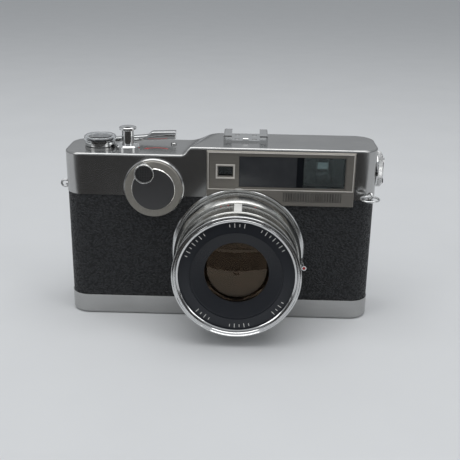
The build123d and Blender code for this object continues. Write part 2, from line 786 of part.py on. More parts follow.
def counter_window():
    """The clear dome over the counter."""
    base = hub_top + face_gap + 0.5
    top = base + counter_dome_height
    wall = counter_dome_wall
    radius = hub_radius + counter_dome_overhang
    outer = fillet(disc(radius, base, top).edges().group_by(Axis.Z)[-1], 1.2)
    inner = fillet(disc(radius - wall, base - 1, top - wall).edges().group_by(Axis.Z)[-1], 0.7)
    return hub_seat * (outer - inner)


def deck_screw_shape(grow):
    """The shank of the screw beside the lever's tip, grown a little for its hole."""
    return disc(0.8 + grow, low_deck - screw_shank, low_deck + grow, *deck_screw_place())


def deck_screw_place():
    return hub_x + deck_screw_from_hub[0], advance_y + deck_screw_from_hub[1]


def cover_screws():
    """All the screws: four in the base, four in the shoe and one on the deck."""
    base = Rot(180, 0, 0) * screw(screw_head_radius, 0.8, screw_shank_radius, screw_shank)
    screws = [Pos(x, y, base_floor - 0.4) * base for x, y in base_screw_places()]
    for x, y in shoe_screw_places():
        small = screw(shoe_screw_radius, shoe_plate, small_shank_radius, cover_wall - 0.2)
        screws.append(Pos(x, y, high_deck) * small)
    screws.append(Pos(*deck_screw_place(), low_deck) * screw(deck_screw_radius, 0.9, 0.8, screw_shank))
    return Compound(screws)


# ---- Shutter release ----
def release_collar():
    collar = ring(release_collar_radius, release_shaft_radius + running_gap, low_deck,
                  low_deck + release_collar_height)
    rims = collar.edges().group_by(Axis.Z)[-1].sort_by(SortBy.LENGTH)
    return release_seat * chamfer(rims[-1], 0.6)


def release_button():
    top = low_deck + release_height
    flange = 1.3
    foot = low_deck - release_shaft_depth
    corners = [(0, foot), (release_shaft_radius, foot),
               (release_shaft_radius, top - flange - 0.4), (release_flange_radius, top - flange + 0.2),
               (release_flange_radius, top - 0.3), (release_flange_radius - 0.3, top),
               (cable_thread_radius + 1.0, top - 0.5), (0, top - 0.5)]
    button = turned(corners) + disc(1.2, shelf_top + release_travel + 0.6, foot)
    return release_seat * (button - disc(cable_thread_radius, top - 0.5 - cable_thread_depth, top))


def release_spring():
    """The coil spring under the button, on the casting's shelf."""
    wire = 0.2
    bottom = shelf_top + wire
    top = low_deck - release_shaft_depth - wire
    path = Helix(pitch=(top - bottom) / 7, height=top - bottom, radius=1.8)
    section = Plane(origin=path @ 0, z_dir=path % 0) * Circle(wire)
    return release_seat * (Pos(0, 0, bottom) * sweep(section, path, is_frenet=True))


# ---- Accessory shoe ----
def accessory_shoe():
    outer = shoe_outer_width / 2
    inner = shoe_inner_width / 2
    lip = shoe_lip_gap / 2
    z1 = shoe_plate
    z2 = z1 + shoe_slot_height
    z3 = z2 + shoe_lip
    outline = Polyline((-outer, 0), (outer, 0), (outer, z3), (lip, z3), (lip, z2), (inner, z2), (inner, z1),
                       (-inner, z1), (-inner, z2), (-lip, z2), (-lip, z3), (-outer, z3), close=True)
    seat = Plane(origin=(shoe_x, shoe_front_y, high_deck), x_dir=(1, 0, 0), z_dir=(0, -1, 0))
    shoe = extrude(seat * make_face(outline), -shoe_length)
    tops = shoe.edges().filter_by(Axis.Y).group_by(Axis.Z)[-1].sort_by(Axis.X)
    shoe = fillet([tops[0], tops[-1]], 0.6)
    for x, y in shoe_screw_places():
        shoe -= disc(shoe_screw_radius + running_gap, high_deck - 1, high_deck + 5, x, y)
    stop = block(shoe_x - 1.4, shoe_x + 1.4, shoe_front_y + 0.6, shoe_front_y + 2.6,
                 high_deck + shoe_plate, high_deck + shoe_plate + 0.9)
    return shoe + chamfer(stop.faces().sort_by(Axis.Z)[-1].edges(), 0.25)


def shoe_screw_places():
    middle = shoe_front_y + shoe_length / 2
    return [(shoe_x + sx * 4.0, middle + sy * 4.2) for sx in (-1, 1) for sy in (-1, 1)]


# ---- Rewind knob on the right end ----
def knob_start():
    return rewind_base_thickness + face_gap


def rewind_base():
    plate = ring(rewind_knob_radius + 0.3, rewind_shaft_radius + running_gap, 0, rewind_base_thickness)
    rims = plate.edges().group_by(Axis.Z)[-1].sort_by(SortBy.LENGTH)
    return end_seat * chamfer(rims[-1], 0.25)


def rewind_knob():
    start = knob_start()
    end = start + rewind_knob_thickness
    knob = disc(rewind_knob_radius, start, end)
    knob = chamfer(knob.edges().group_by(Axis.Z)[-1], 0.4)
    knob -= disc(crank_handle_radius + 0.4, start + 0.5, end + 1, 0, -crank_handle_down)
    ear_start = crank_width / 2 + face_gap
    for side in (-1, 1):
        ear = block(side * ear_start, side * (ear_start + 0.9), crank_pivot_up - 1.0, crank_pivot_up + 1.0,
                    end, end + crank_lift + crank_thickness)
        knob += ear
    return end_seat * (knob + crank_pin_shape(0))


def crank_pin_shape(grow):
    z = crank_start() + crank_thickness / 2
    reach = crank_width / 2 + face_gap + 0.9
    pin = Rot(0, 90, 0) * Cylinder(0.22 + grow, 2 * reach)
    return Pos(0, crank_pivot_up, z) * pin


def crank_start():
    """How far out of the end the folded crank's inner face lies."""
    return knob_start() + rewind_knob_thickness + crank_lift


def rewind_crank():
    start = crank_start()
    length = crank_pivot_up + crank_handle_down
    arm = extrude(SlotCenterToCenter(length, crank_width, 90), crank_thickness)
    arm = Pos(0, (crank_pivot_up - crank_handle_down) / 2, start) * arm
    arm -= block(-5, 5, crank_pivot_up + 0.45, crank_pivot_up + 5, start - 1, start + 5)
    arm -= disc(0.7 + running_gap, start - 1, start + 5, 0, -crank_handle_down)
    return end_seat * (arm - crank_pin_shape(running_gap))


def crank_handle():
    start = crank_start()
    top = start + crank_thickness + face_gap
    grip = disc(crank_handle_radius, start - 1.6, start - face_gap)
    grip += disc(0.7, start - face_gap, top)
    grip += disc(1.2, top, top + 0.35)
    return end_seat * (Pos(0, -crank_handle_down, 0) * grip)


def bevel_wheel(station, way):
    """A smooth bevel wheel, its widest edge at a station and its cone pointing up or down."""
    small = bevel_radius - bevel_cone
    corners = [(0, station - way * 0.8), (bevel_radius, station - way * 0.8), (bevel_radius, station),
               (small, station + way * bevel_cone), (0, station + way * bevel_cone)]
    return turned(corners)


def rewind_shaft():
    """The knob's shaft, with the bevel pinion that turns the fork below it."""
    reach = half_width - cassette_x
    tip = -reach + bevel_radius + 0.1
    shaft = disc(rewind_shaft_radius, tip, knob_start())
    return end_seat * (shaft + bevel_wheel(tip, -1))


def rewind_fork():
    """The upright shaft that turns the film cassette, with its bevel wheel on top."""
    top = rewind_z - bevel_radius - 0.1
    shaft = disc(rewind_shaft_radius, chamber_ceiling - 4, top)
    cone = bevel_wheel(top, 1)
    collar = disc(3.0, shelf_top + face_gap, shelf_top + 1.0)
    blade = block(-2.6, 2.6, -0.6, 0.6, chamber_ceiling - 6, chamber_ceiling - 2)
    return Pos(cassette_x, 0, 0) * (shaft + cone + collar + blade)


# ---- Strap lugs and ring ----
def left_lug_stem(grow):
    stem = Rot(0, 90, 0) * Cylinder(0.8 + grow, 3.0)
    return Pos(-half_width + 0.5, lug_left_y, lug_z) * stem


def strap_lugs():
    """The two fixed strap eyes: one on the left end, one on the right front corner."""
    return Compound([strap_lug_left(), strap_lug_right()])


def strap_lug_left():
    centre = (-half_width - 0.4 - lug_loop_radius + lug_wire_radius, lug_left_y, lug_z)
    loop = Plane(origin=centre, z_dir=(0, 1, 0)) * Torus(lug_loop_radius, lug_wire_radius)
    cut = block(-half_width - 0.2, 0, -body_depth, body_depth, 0, body_width)
    return loop - cut + (left_lug_stem(0) & block(-half_width - 0.9, 0, -body_depth, 0, 0, body_width))


def corner_point(reach):
    """A point outward of the right front corner, along the lug's direction."""
    angle = radians(lug_right_angle)
    distance = corner_radius + reach
    x = half_width - corner_radius + distance * cos(angle)
    y = front_y + corner_radius + distance * sin(angle)
    return (x, y, lug_z)


def right_lug_plane(reach):
    angle = radians(lug_right_angle)
    return Plane(origin=corner_point(reach), x_dir=(0, 0, 1), z_dir=(cos(angle), sin(angle), 0))


def right_lug_stem(grow):
    return right_lug_plane(-cover_wall - 0.5) * disc(0.8 + grow, 0, cover_wall + 1.5)


def strap_lug_right():
    angle = radians(lug_right_angle)
    across = (-sin(angle), cos(angle), 0)
    loop = Plane(origin=corner_point(lug_right_reach), z_dir=across) * Torus(lug_loop_radius, lug_wire_radius)
    eye = lug_eye(across, lug_loop_radius - lug_wire_radius + running_gap)
    return loop - eye + (right_lug_stem(0) - lug_eye(across, lug_loop_radius))


def lug_eye(across, radius):
    """A round hole through the lug's eye."""
    return Plane(origin=corner_point(lug_right_reach), z_dir=across) * Cylinder(radius, 4)


def strap_ring():
    """The round strap ring, lying level through the right lug's eye."""
    eye = corner_point(lug_right_reach)
    angle = radians(lug_right_angle - strap_ring_turn)
    centre = (eye[0] + strap_ring_radius * cos(angle), eye[1] + strap_ring_radius * sin(angle), eye[2])
    return Plane(origin=centre) * Torus(strap_ring_radius, strap_ring_wire)


# ---- Lens ----
def lens_escutcheon():
    plate = ring(escutcheon_radius, mount_tube_radius + face_gap, 0, escutcheon_thickness)
    rims = plate.edges().group_by(Axis.Z)[-1].sort_by(SortBy.LENGTH)
    return lens_seat * chamfer(rims[-1], 0.5)


def lens_mount_tube():
    inner = housing_barrel_radius + running_gap
    neck = tube_neck_radius
    depth = tube_neck_depth
    corners = [(inner, -depth), (neck, -depth), (neck, -skin), (mount_flange_radius, -skin),
               (mount_flange_radius, 0), (mount_tube_radius, 0), (mount_tube_radius, tube_end),
               (inner, tube_end)]
    return lens_seat * turned(corners)


def sync_lever():
    """The flash synchroniser's thin lever ring, with its pin beside the lens."""
    start = escutcheon_thickness + face_gap
    end = focus_start - 2 * face_gap
    lever = ring(mount_tube_radius + sync_lever_reach, mount_tube_radius + running_gap, start, end)
    arm = block(mount_tube_radius + 1, sync_pin_reach, -1.0, 1.0, start, end)
    pin = disc(sync_pin_radius, start, sync_pin_end, sync_pin_reach)
    return lens_seat * (Rot(0, 0, sync_pin_angle) * (lever + arm + pin))


def focus_ring():
    bore = mount_tube_radius + running_gap
    nose_bore = index_collar_radius + 0.3
    corners = [(bore, focus_start), (focus_ring_radius, focus_start), (focus_ring_radius, focus_bevel_start),
               (focus_nose_radius, focus_end), (nose_bore, focus_end), (nose_bore, tube_end + face_gap),
               (bore, tube_end + face_gap)]
    return lens_seat * turned(corners)


def shutter_housing():
    step = speed_start - 0.15
    front = housing_front()
    index = tube_end + 2 * face_gap
    corners = [(housing_bore_radius, -2), (housing_barrel_radius, -2), (housing_barrel_radius, index),
               (index_collar_radius, index), (index_collar_radius, step), (housing_drum_radius, step),
               (housing_drum_radius, front), (housing_bore_radius, front)]
    return lens_seat * (turned(corners) + rear_cell())


def middle_collar():
    """The thin ring between the two control rings, which keeps the rear one on."""
    return lens_seat * ring(middle_collar_radius, housing_drum_radius, speed_end + face_gap,
                            aperture_start - face_gap)


def housing_front():
    """The station of the drum's front face, behind the filter rim's lip."""
    return lens_front - rim_bevel_depth - filter_thread_length - name_ring_thickness - 0.5


def speed_ring():
    edge = 0.45
    bore = housing_drum_radius + running_gap
    corners = [(bore, speed_start), (speed_ring_radius - 0.2, speed_start),
               (speed_ring_radius, speed_start + 0.2), (speed_ring_radius, speed_end - edge),
               (speed_ring_radius - edge, speed_end), (bore, speed_end)]
    return lens_seat * turned(corners)


def rim_neck():
    """The radius of the filter rim's neck inside the aperture ring."""
    return filter_thread_radius + 0.6


def aperture_ring():
    bore = housing_drum_radius + running_gap
    counterbore = rim_neck() + face_gap
    shoulder = housing_front() - face_gap
    end = aperture_end - face_gap
    corners = [(bore, aperture_start), (aperture_ring_radius - 0.3, aperture_start),
               (aperture_ring_radius, aperture_start + 0.3), (aperture_ring_radius, end), (counterbore, end),
               (counterbore, shoulder), (bore, shoulder)]
    return lens_seat * turned(corners)


def filter_rim():
    back = housing_front()
    lip = back + 0.5
    edge = lens_front - rim_bevel_depth
    thread_start = lip + name_ring_thickness + thread_relief[0]
    groove = filter_thread_radius + thread_relief[1]
    corners = [(filter_thread_radius - 1.4, back), (rim_neck(), back), (rim_neck(), aperture_end),
               (aperture_ring_radius, aperture_end), (filter_rim_radius, aperture_end + 0.9),
               (filter_rim_radius, lens_front - 0.2), (filter_rim_radius - 0.3, lens_front),
               (filter_thread_radius, edge), (filter_thread_radius, thread_start), (groove, thread_start),
               (groove, lip), (filter_thread_radius - 1.4, lip)]
    return lens_seat * turned(corners)


def name_ring():
    start = housing_front() + 0.5
    outer = filter_thread_radius - 0.05
    return lens_seat * ring(outer, name_ring_inner_radius, start, start + name_ring_thickness)


def front_baffle():
    """The black stepped cone between the name ring and the front glass."""
    top = housing_front() + 0.5
    outer = housing_bore_radius - running_gap
    glass = front_glass_radius + running_gap
    mouth = name_ring_inner_radius - 0.6
    lip = front_glass_radius - 0.8
    foot = front_glass[1] + 2.4
    corners = [(glass, baffle_back), (outer, baffle_back), (outer, top), (mouth, top)]
    steps = 3
    fall = (top - foot) / steps
    narrow = (mouth - lip) / steps
    for index in range(steps):
        radius = mouth - index * narrow
        corners.append((radius, top - (index + 0.8) * fall))
        corners.append((radius - narrow, top - (index + 1) * fall))
    corners.append((lip + running_gap, foot - 0.2))
    corners.append((glass, foot - 0.4))
    return lens_seat * turned(corners)


def lens_element(radius, back, front, back_bulge, front_bulge):
    """A lens: its rim between two stations, and how far each face bulges out."""
    front_arc = ThreePointArc((-radius, front), (0, front + front_bulge), (radius, front))
    back_arc = ThreePointArc((-radius, back), (0, back - back_bulge), (radius, back))
    sides = Line((-radius, back), (-radius, front)) + Line((radius, back), (radius, front))
    half = make_face(front_arc + back_arc + sides) & (Pos(50, 0) * Rectangle(100, 200))
    return lens_seat * revolve(Plane.XZ * half, Axis.Z, 360)


def front_element():
    return lens_element(front_glass_radius, *front_glass, -1.2, 2.0)


def inner_elements():
    """The middle glass in front of the iris and the rear glass behind the shutter."""
    middle = lens_element(front_glass_radius, *middle_glass, 0.8, 0.8)
    return Compound([middle, lens_element(rear_glass_radius, *rear_glass, 1.2, 1.0)])


def rear_cell():
    """The web inside the housing that holds the rear glass."""
    wall = rear_glass_radius + running_gap
    corners = [(wall, -3.5), (wall + 2.4, -3.5), (wall + 2.4, 5.0), (housing_bore_radius + 1, 5.0),
               (housing_bore_radius + 1, 6.5), (wall, 6.5)]
    return turned(corners)


def blade_stack(start, inner, sweep_angle):
    """Thin blades turned evenly about the axis, one behind the other."""
    outer = housing_bore_radius - 1.0
    blades = []
    for index in range(blade_count):
        sector = Circle(outer) - Circle(inner) if inner > 0 else Circle(outer)
        points = [(0, 0)]
        for share in (0, 0.5, 1):
            angle = radians(sweep_angle * share)
            points.append((2 * outer * cos(angle), 2 * outer * sin(angle)))
        wedge = make_face(Polyline(*points, close=True))
        station = start + index * 2 * blade_thickness
        blade = Pos(0, 0, station) * extrude(sector & wedge, blade_thickness)
        blades.append(lens_seat * (Rot(0, 0, index * 360 / blade_count) * blade))
    return Compound(blades)


def iris_blades():
    return blade_stack(iris_station, iris_opening, 110)


def shutter_blades():
    return blade_stack(shutter_station, 0, 80)


NODES = [
    top_cover, base_cover, tripod_socket, cover_screws, rewind_release, body_casting,
    front_covering, back_covering, end_plates, door_hinge_pin, back_door, door_latch,
    pressure_plate, pressure_spring, take_up_spool, sprocket,
    window_bezel, frosted_window, finder_glasses, ribbed_trim, finder_housing, eyepiece_frame,
    rangefinder_mirror, timer_base, timer_dial, timer_plate, timer_knob,
    advance_lever, lever_tip, counter_post, counter_dial, counter_window,
    release_collar, release_button, release_spring, accessory_shoe,
    rewind_base, rewind_knob, rewind_crank, crank_handle, rewind_shaft, rewind_fork,
    strap_lugs, strap_ring,
    lens_escutcheon, lens_mount_tube, sync_lever, focus_ring, shutter_housing, middle_collar,
    speed_ring, aperture_ring, filter_rim, name_ring, front_baffle, front_element, inner_elements,
    iris_blades, shutter_blades,
]

for make in NODES:
    export_step(make(), f"parts/{make.__name__}.step")
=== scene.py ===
from math import atan2, cos, pi, radians, sin

import bmesh
import bpy
from mathutils import Matrix, Vector


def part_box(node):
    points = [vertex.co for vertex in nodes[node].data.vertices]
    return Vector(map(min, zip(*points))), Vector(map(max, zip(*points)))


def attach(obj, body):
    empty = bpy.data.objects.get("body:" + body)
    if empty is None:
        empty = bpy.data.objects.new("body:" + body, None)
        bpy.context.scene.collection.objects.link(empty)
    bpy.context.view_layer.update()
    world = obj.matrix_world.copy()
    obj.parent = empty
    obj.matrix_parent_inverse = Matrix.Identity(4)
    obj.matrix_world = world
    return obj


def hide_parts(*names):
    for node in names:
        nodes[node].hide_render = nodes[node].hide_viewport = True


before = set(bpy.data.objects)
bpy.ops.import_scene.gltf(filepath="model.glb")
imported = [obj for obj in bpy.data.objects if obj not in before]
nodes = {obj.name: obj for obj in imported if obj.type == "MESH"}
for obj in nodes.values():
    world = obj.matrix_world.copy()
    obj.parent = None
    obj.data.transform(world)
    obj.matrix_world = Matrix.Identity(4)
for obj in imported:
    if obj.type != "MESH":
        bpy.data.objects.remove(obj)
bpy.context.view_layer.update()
mm = 0.001


# ---- Top and base covers ----
# Pressed brass shells, brushed fine and plated in satin chrome. The grain is too fine to see,
# but it softens what they reflect; handling leaves them a little cloudy.
class Signal:
    """A number, colour or vector inside a finish. Arithmetic on it adds Math nodes."""

    def __init__(self, finish, socket):
        self.finish = finish
        self.socket = socket

    def math(self, operation, *values):
        return self.finish.node("Math", {"operation": operation}, dict(enumerate(values)))

    def __add__(self, other):
        return self.math("ADD", self, other)

    def __sub__(self, other):
        return self.math("SUBTRACT", self, other)

    def __rsub__(self, other):
        return self.math("SUBTRACT", other, self)

    def __mul__(self, other):
        return self.math("MULTIPLY", self, other)

    def __pow__(self, other):
        return self.math("POWER", self, other)

    __radd__ = __add__
    __rmul__ = __mul__


class Finish:
    """A procedural material around one Principled shader, whose sockets it sets by name."""

    def __init__(self, name, **settings):
        self.material = bpy.data.materials.new(name)
        self.material.use_nodes = True
        self.tree = self.material.node_tree
        self.shader = self.tree.nodes["Principled BSDF"]
        self.set(**settings)

    def set(self, **settings):
        for name, value in settings.items():
            self.feed(self.shader.inputs[name.replace("_", " ")], value)

    def feed(self, socket, value):
        if isinstance(value, Signal):
            self.tree.links.new(value.socket, socket)
        elif socket.type == "RGBA":
            socket.default_value = (*value[:3], 1.0)
        else:
            socket.default_value = value

    def node(self, kind, settings=None, inputs=None, output=0):
        made = self.tree.nodes.new("ShaderNode" + kind)
        for name, value in (settings or {}).items():
            setattr(made, name, value)
        for name, value in (inputs or {}).items():
            self.feed(made.inputs[name], value)
        return Signal(self, made.outputs[output])

    def place(self, *stretch):
        """Object coordinates in millimetres, stretched along the axes if asked."""
        spot = self.node("TexCoord", output="Object")
        scale = [s / mm for s in stretch or (1, 1, 1)]
        return self.node("VectorMath", {"operation": "MULTIPLY"}, {0: spot, 1: scale})

    def noise(self, spot, scale, detail=2.0, rough=0.5):
        inputs = {"Vector": spot, "Scale": scale, "Detail": detail, "Roughness": rough}
        return self.node("TexNoise", None, inputs)

    def spread(self, signal, low, high, to_low=0.0, to_high=1.0):
        """A signal's range from low to high, taken to another range and clamped there."""
        inputs = {0: signal, 1: low, 2: high, 3: to_low, 4: to_high}
        return self.node("MapRange", None, inputs)

    def blend(self, share, first, second):
        return self.node("Mix", {"data_type": "RGBA"}, {0: share, 6: first, 7: second}, 2)

    def bump(self, height, depth):
        """Relief whose full height is a depth in millimetres."""
        self.set(Normal=self.node("Bump", None, {"Height": height, "Distance": depth * mm}))

    def axis(self, letter):
        """One of the object coordinates, in millimetres."""
        return self.node("SeparateXYZ", None, {0: self.place()}, letter)

    def radius_about(self, x, z):
        """The distance in millimetres from a line along Y through (x, z)."""
        across = self.node("VectorMath", {"operation": "SUBTRACT"}, {0: self.place(1, 0, 1), 1: (x, 0, z)})
        return self.node("VectorMath", {"operation": "LENGTH"}, {0: across}, "Value")

    def coat(self, *names):
        for name in names:
            for slot in nodes[name].material_slots:
                slot.material = self.material


def shade(tone, factor):
    return [channel * factor for channel in tone]


def plate_finish(name, tone, gloss, cloud, grain):
    """Plated metal: fine grain, and clouds where it has been handled."""
    finish = Finish(name, Metallic=1.0)
    spot = finish.place()
    fine = finish.noise(spot, 6.0, 3.0, 0.6)
    clouds = finish.noise(spot, 0.045, 4.0, 0.55)
    marks = finish.spread(clouds, 0.38, 0.66)
    finish.set(
        Base_Color=finish.blend(marks, tone, shade(tone, 0.9)),
        Roughness=marks * cloud + fine * grain + gloss,
    )
    finish.bump(fine, 0.0016)
    return finish


satin_tone = (0.47, 0.47, 0.465)
satin = plate_finish("satin_chrome", satin_tone, 0.15, 0.04, 0.06)
satin.coat("top_cover", "base_cover", "end_plates", "timer_base")


# ---- Casting, inside and the back door ----
# The body is a die casting, and both it and the door are lacquered black with a slight
# orange-peel texture; the lacquer keeps a dull shine.
def lacquer_finish(name, tone, gloss, peel):
    finish = Finish(name, Specular_IOR_Level=0.45)
    spot = finish.place()
    skin = finish.noise(spot, 2.4, 2.0, 0.5)
    dust = finish.noise(spot, 0.35, 5.0, 0.7)
    finish.set(
        Base_Color=finish.blend(finish.spread(dust, 0.5, 0.8), tone, shade(tone, 1.9)),
        Roughness=finish.spread(dust, 0.3, 0.7, gloss, gloss + 0.16),
    )
    finish.bump(skin, peel)
    return finish


lacquer = lacquer_finish("black_lacquer", (0.016, 0.016, 0.018), 0.34, 0.012)
lacquer.coat("body_casting", "back_door", "pressure_plate")
moulded = lacquer_finish("black_moulding", (0.012, 0.012, 0.013), 0.46, 0.006)
moulded.coat("take_up_spool", "crank_handle")
flocked = lacquer_finish("flocked_black", (0.005, 0.006, 0.008), 0.80, 0.02)
flocked.set(Specular_IOR_Level=0.08)
flocked.coat("finder_housing", "iris_blades", "shutter_blades")


# ---- Grained covering ----
# Embossed black leathercloth glued into the body between the covers: rounded pebbles about
# a millimetre across, flattened sideways, with dull creases between them.
leather = Finish("grained_covering", Specular_IOR_Level=0.5)
spot = leather.place(0.72, 0.9, 1.1)
warp = leather.node("TexNoise", None, {"Vector": spot, "Scale": 0.9, "Detail": 2.0}, "Color")
bent = leather.node("VectorMath", {"operation": "MULTIPLY_ADD"}, {0: warp, 1: (0.9, 0.9, 0.9), 2: spot})
cells = leather.node(
    "TexVoronoi", {"feature": "SMOOTH_F1"}, {"Vector": bent, "Scale": 1.25, "Smoothness": 0.45}
)
pebble = 1 - leather.spread(cells, 0.05, 0.75) ** 1.6
wrinkle = leather.noise(bent, 3.5, 3.0, 0.6)
# The pebble tops are lighter in colour than the creases: partly wear on the tops, partly painted shade in
# the creases.
wear_and_crease_shade = leather.spread(pebble, 0.45, 0.95)
leather.set(
    Base_Color=leather.blend(wear_and_crease_shade, (0.0025, 0.0032, 0.0045), (0.0085, 0.0108, 0.0142)),
    Roughness=leather.spread(pebble + wrinkle * 0.25, 0.3, 1.1, 0.70, 0.30),
)
leather.bump(pebble + wrinkle * 0.22, 0.42)
leather.coat("front_covering", "back_covering")


# ---- Window bezel, ribbed trim and self-timer plates ----
# One stamped frame carries all the finder windows. It is plated a warm grey and brushed
# along its length, which shows as faint straight lines.
def brushed_finish(name, tone, gloss, metallic, stretch, depth):
    finish = Finish(name, Metallic=metallic)
    strokes = finish.noise(finish.place(*stretch), 1.0, 3.0, 0.6)
    clouds = finish.noise(finish.place(), 0.12, 3.0, 0.5)
    finish.set(
        Base_Color=finish.blend(strokes, shade(tone, 0.82), shade(tone, 1.15)),
        Roughness=strokes * 0.12 + clouds * 0.10 + gloss,
    )
    finish.bump(strokes, depth)
    return finish


warm_grey = (0.25, 0.235, 0.212)
bezel_grey = brushed_finish("warm_grey_plate", warm_grey, 0.32, 0.75, (0.12, 3.0, 5.0), 0.003)
bezel_grey.coat("window_bezel")

# A far lighter copy of the bezel's grey for its raised lines: a painted highlight along their edges.
painted_highlight_plate = brushed_finish("painted_highlight_plate", (0.74, 0.71, 0.66), 0.30, 0.6, (0.12, 3.0, 5.0), 0.002)

trim = Finish("dark_trim", Metallic=0.85)
ribs = trim.node(
    "TexWave", {"wave_type": "BANDS", "bands_direction": "X"}, {"Vector": trim.place(), "Scale": 0.26}
)
tarnish = trim.noise(trim.place(), 0.3, 4.0)
trim.set(
    Base_Color=trim.blend(tarnish, (0.13, 0.125, 0.115), (0.19, 0.18, 0.165)),
    Roughness=ribs * 0.1 + tarnish * 0.1 + 0.25,
)
trim.bump(ribs, 0.25)
trim.coat("ribbed_trim")


# ---- Self-timer ----
# A stepped dial: a pale matt ring round a satin plate painted dark, with a painted highlight for its
# bevelled edge, and a turned knob off its centre, with a black chequered inlay.
def middle_of(node):
    """The middle of a node's box, in millimetres."""
    low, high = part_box(node)
    return (low + high) / 2 / mm


def half_height(node):
    low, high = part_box(node)
    return (high.z - low.z) / 2 / mm


pale_ring = brushed_finish("pale_ring", (0.33, 0.315, 0.285), 0.40, 0.75, (0.8, 3.0, 0.8), 0.003)
pale_ring.coat("timer_dial")

plate_middle = middle_of("timer_plate")
# The width of the painted highlight band at the plate's rim.
highlight_band_width = 0.38
plate_edge = half_height("timer_plate") - highlight_band_width
# The plate's colour is painted light: a dark tone for the dark surroundings it reflects, and a bright band
# at its rim for the highlight on its rounded edge.
plate_painted_light = Finish("satin_plate_painted_light", Metallic=1.0)
from_middle = plate_painted_light.radius_about(plate_middle.x, plate_middle.z)
edge = plate_painted_light.spread(from_middle, plate_edge, plate_edge + 0.05)
rings = plate_painted_light.node(
    "TexNoise", {"noise_dimensions": "1D"}, {"W": from_middle, "Scale": 6.0, "Detail": 3.0}
)
plate_painted_light.set(
    Base_Color=plate_painted_light.blend(edge, (0.20, 0.20, 0.205), (0.86, 0.85, 0.82)),
    Roughness=plate_painted_light.spread(edge, 0.0, 1.0, 0.30, 0.16) + rings * 0.08,
)
plate_painted_light.bump(rings, 0.003)
plate_painted_light.coat("timer_plate")

knob_middle = middle_of("timer_knob")
knob_rim = 0.62
knob_inlay = half_height("timer_knob") - knob_rim
knob_finish = Finish("inlaid_knob")
inlay = knob_finish.spread(
    knob_finish.radius_about(knob_middle.x, knob_middle.z), knob_inlay, knob_inlay + 0.04, 1.0, 0.0
)
grid = [
    knob_finish.node(
        "TexWave",
        {"wave_type": "BANDS", "bands_direction": way},
        {"Vector": knob_finish.place(), "Scale": 0.42},
    )
    for way in ("X", "Z")
]
knob_finish.set(
    Base_Color=knob_finish.blend(inlay, (0.80, 0.80, 0.79), (0.012, 0.012, 0.013)),
    Metallic=1 - inlay,
    Roughness=knob_finish.spread(inlay, 0.0, 1.0, 0.10, 0.48) + grid[0] * 0.03,
)
knob_finish.bump((grid[0] + grid[1]) * inlay, 0.08)
knob_finish.coat("timer_knob")


# ---- Finder windows ----
# The wide window is smoked, finely ribbed plastic that lights the bright-line frame; the
# others are clear glass, with a little dust on them.
smoked = Finish("smoked_window", IOR=1.49)
fine_ribs = smoked.node(
    "TexWave",
    {"wave_type": "BANDS", "bands_direction": "X"},
    {"Vector": smoked.place(), "Scale": 0.55, "Distortion": 0.0},
)
haze = smoked.noise(smoked.place(), 0.25, 3.0)
smoked.set(
    Base_Color=smoked.blend(haze, (0.026, 0.028, 0.031), (0.038, 0.040, 0.044)),
    Roughness=smoked.spread(haze, 0.3, 0.7, 0.16, 0.26),
)
smoked.bump(fine_ribs, 0.012)
smoked.coat("frosted_window")

clear = Finish(
    "clear_glass", IOR=1.5, Transmission_Weight=1.0, Base_Color=(0.62, 0.68, 0.68), Specular_IOR_Level=0.05
)
film = clear.noise(clear.place(), 0.4, 4.0, 0.6)
clear.set(Roughness=clear.spread(film, 0.5, 0.9, 0.0, 0.012))
clear.coat("finder_glasses")

silver = plate_finish("silvered_mirror", (0.90, 0.90, 0.91), 0.02, 0.02, 0.01)
silver.coat("rangefinder_mirror")


# ---- Polished fittings ----
# Shoe, button, lugs, rims and screws are turned or pressed from brass and steel, polished and
# chromed bright, with hairline scratches.
def polished_finish(name, tone, gloss):
    finish = plate_finish(name, tone, gloss, 0.05, 0.03)
    hairs = finish.noise(finish.place(0.4, 6.0, 0.4), 1.0, 4.0, 0.75)
    finish.bump(hairs, 0.0009)
    return finish


bright = polished_finish("bright_chrome", (0.70, 0.705, 0.705), 0.06)
bright.coat(
    "rewind_release", "door_latch", "eyepiece_frame", "counter_post", "release_collar",
    "release_button", "accessory_shoe", "rewind_base", "rewind_crank", "strap_lugs", "strap_ring",
    "lens_escutcheon", "sync_lever",
)
steel = polished_finish("machined_steel", (0.50, 0.50, 0.50), 0.22)
steel.coat(
    "cover_screws", "door_hinge_pin", "pressure_spring", "sprocket", "release_spring",
    "rewind_shaft", "rewind_fork",
)
brass = polished_finish("turned_brass", (0.58, 0.47, 0.26), 0.24)
brass.coat("tripod_socket")


# ---- Lens metal ----
# The rings are turned from light alloy and matt anodised; the lathe leaves fine circles
# round the lens axis. The inside and the name ring are anodised black.
lens_low, lens_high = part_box("lens_escutcheon")
lens_centre = (lens_low + lens_high) / 2
lens_front = lens_high.y
lens_seat = Matrix.Translation((lens_centre.x, lens_front, lens_centre.z)) @ Matrix.Rotation(pi / 2, 4, "X")


def turned_finish(name, tone, gloss, metallic, depth):
    finish = Finish(name, Metallic=metallic)
    line = finish.radius_about(lens_centre.x / mm, lens_centre.z / mm) + finish.axis("Y") * 0.8
    circles = finish.node(
        "TexNoise", {"noise_dimensions": "1D"}, {"W": line, "Scale": 7.0, "Detail": 3.0}
    )
    clouds = finish.noise(finish.place(), 0.3, 3.0)
    finish.set(
        Base_Color=finish.blend(circles, shade(tone, 0.9), shade(tone, 1.1)),
        Roughness=circles * 0.05 + clouds * 0.05 + gloss,
    )
    finish.bump(circles, depth)
    return finish


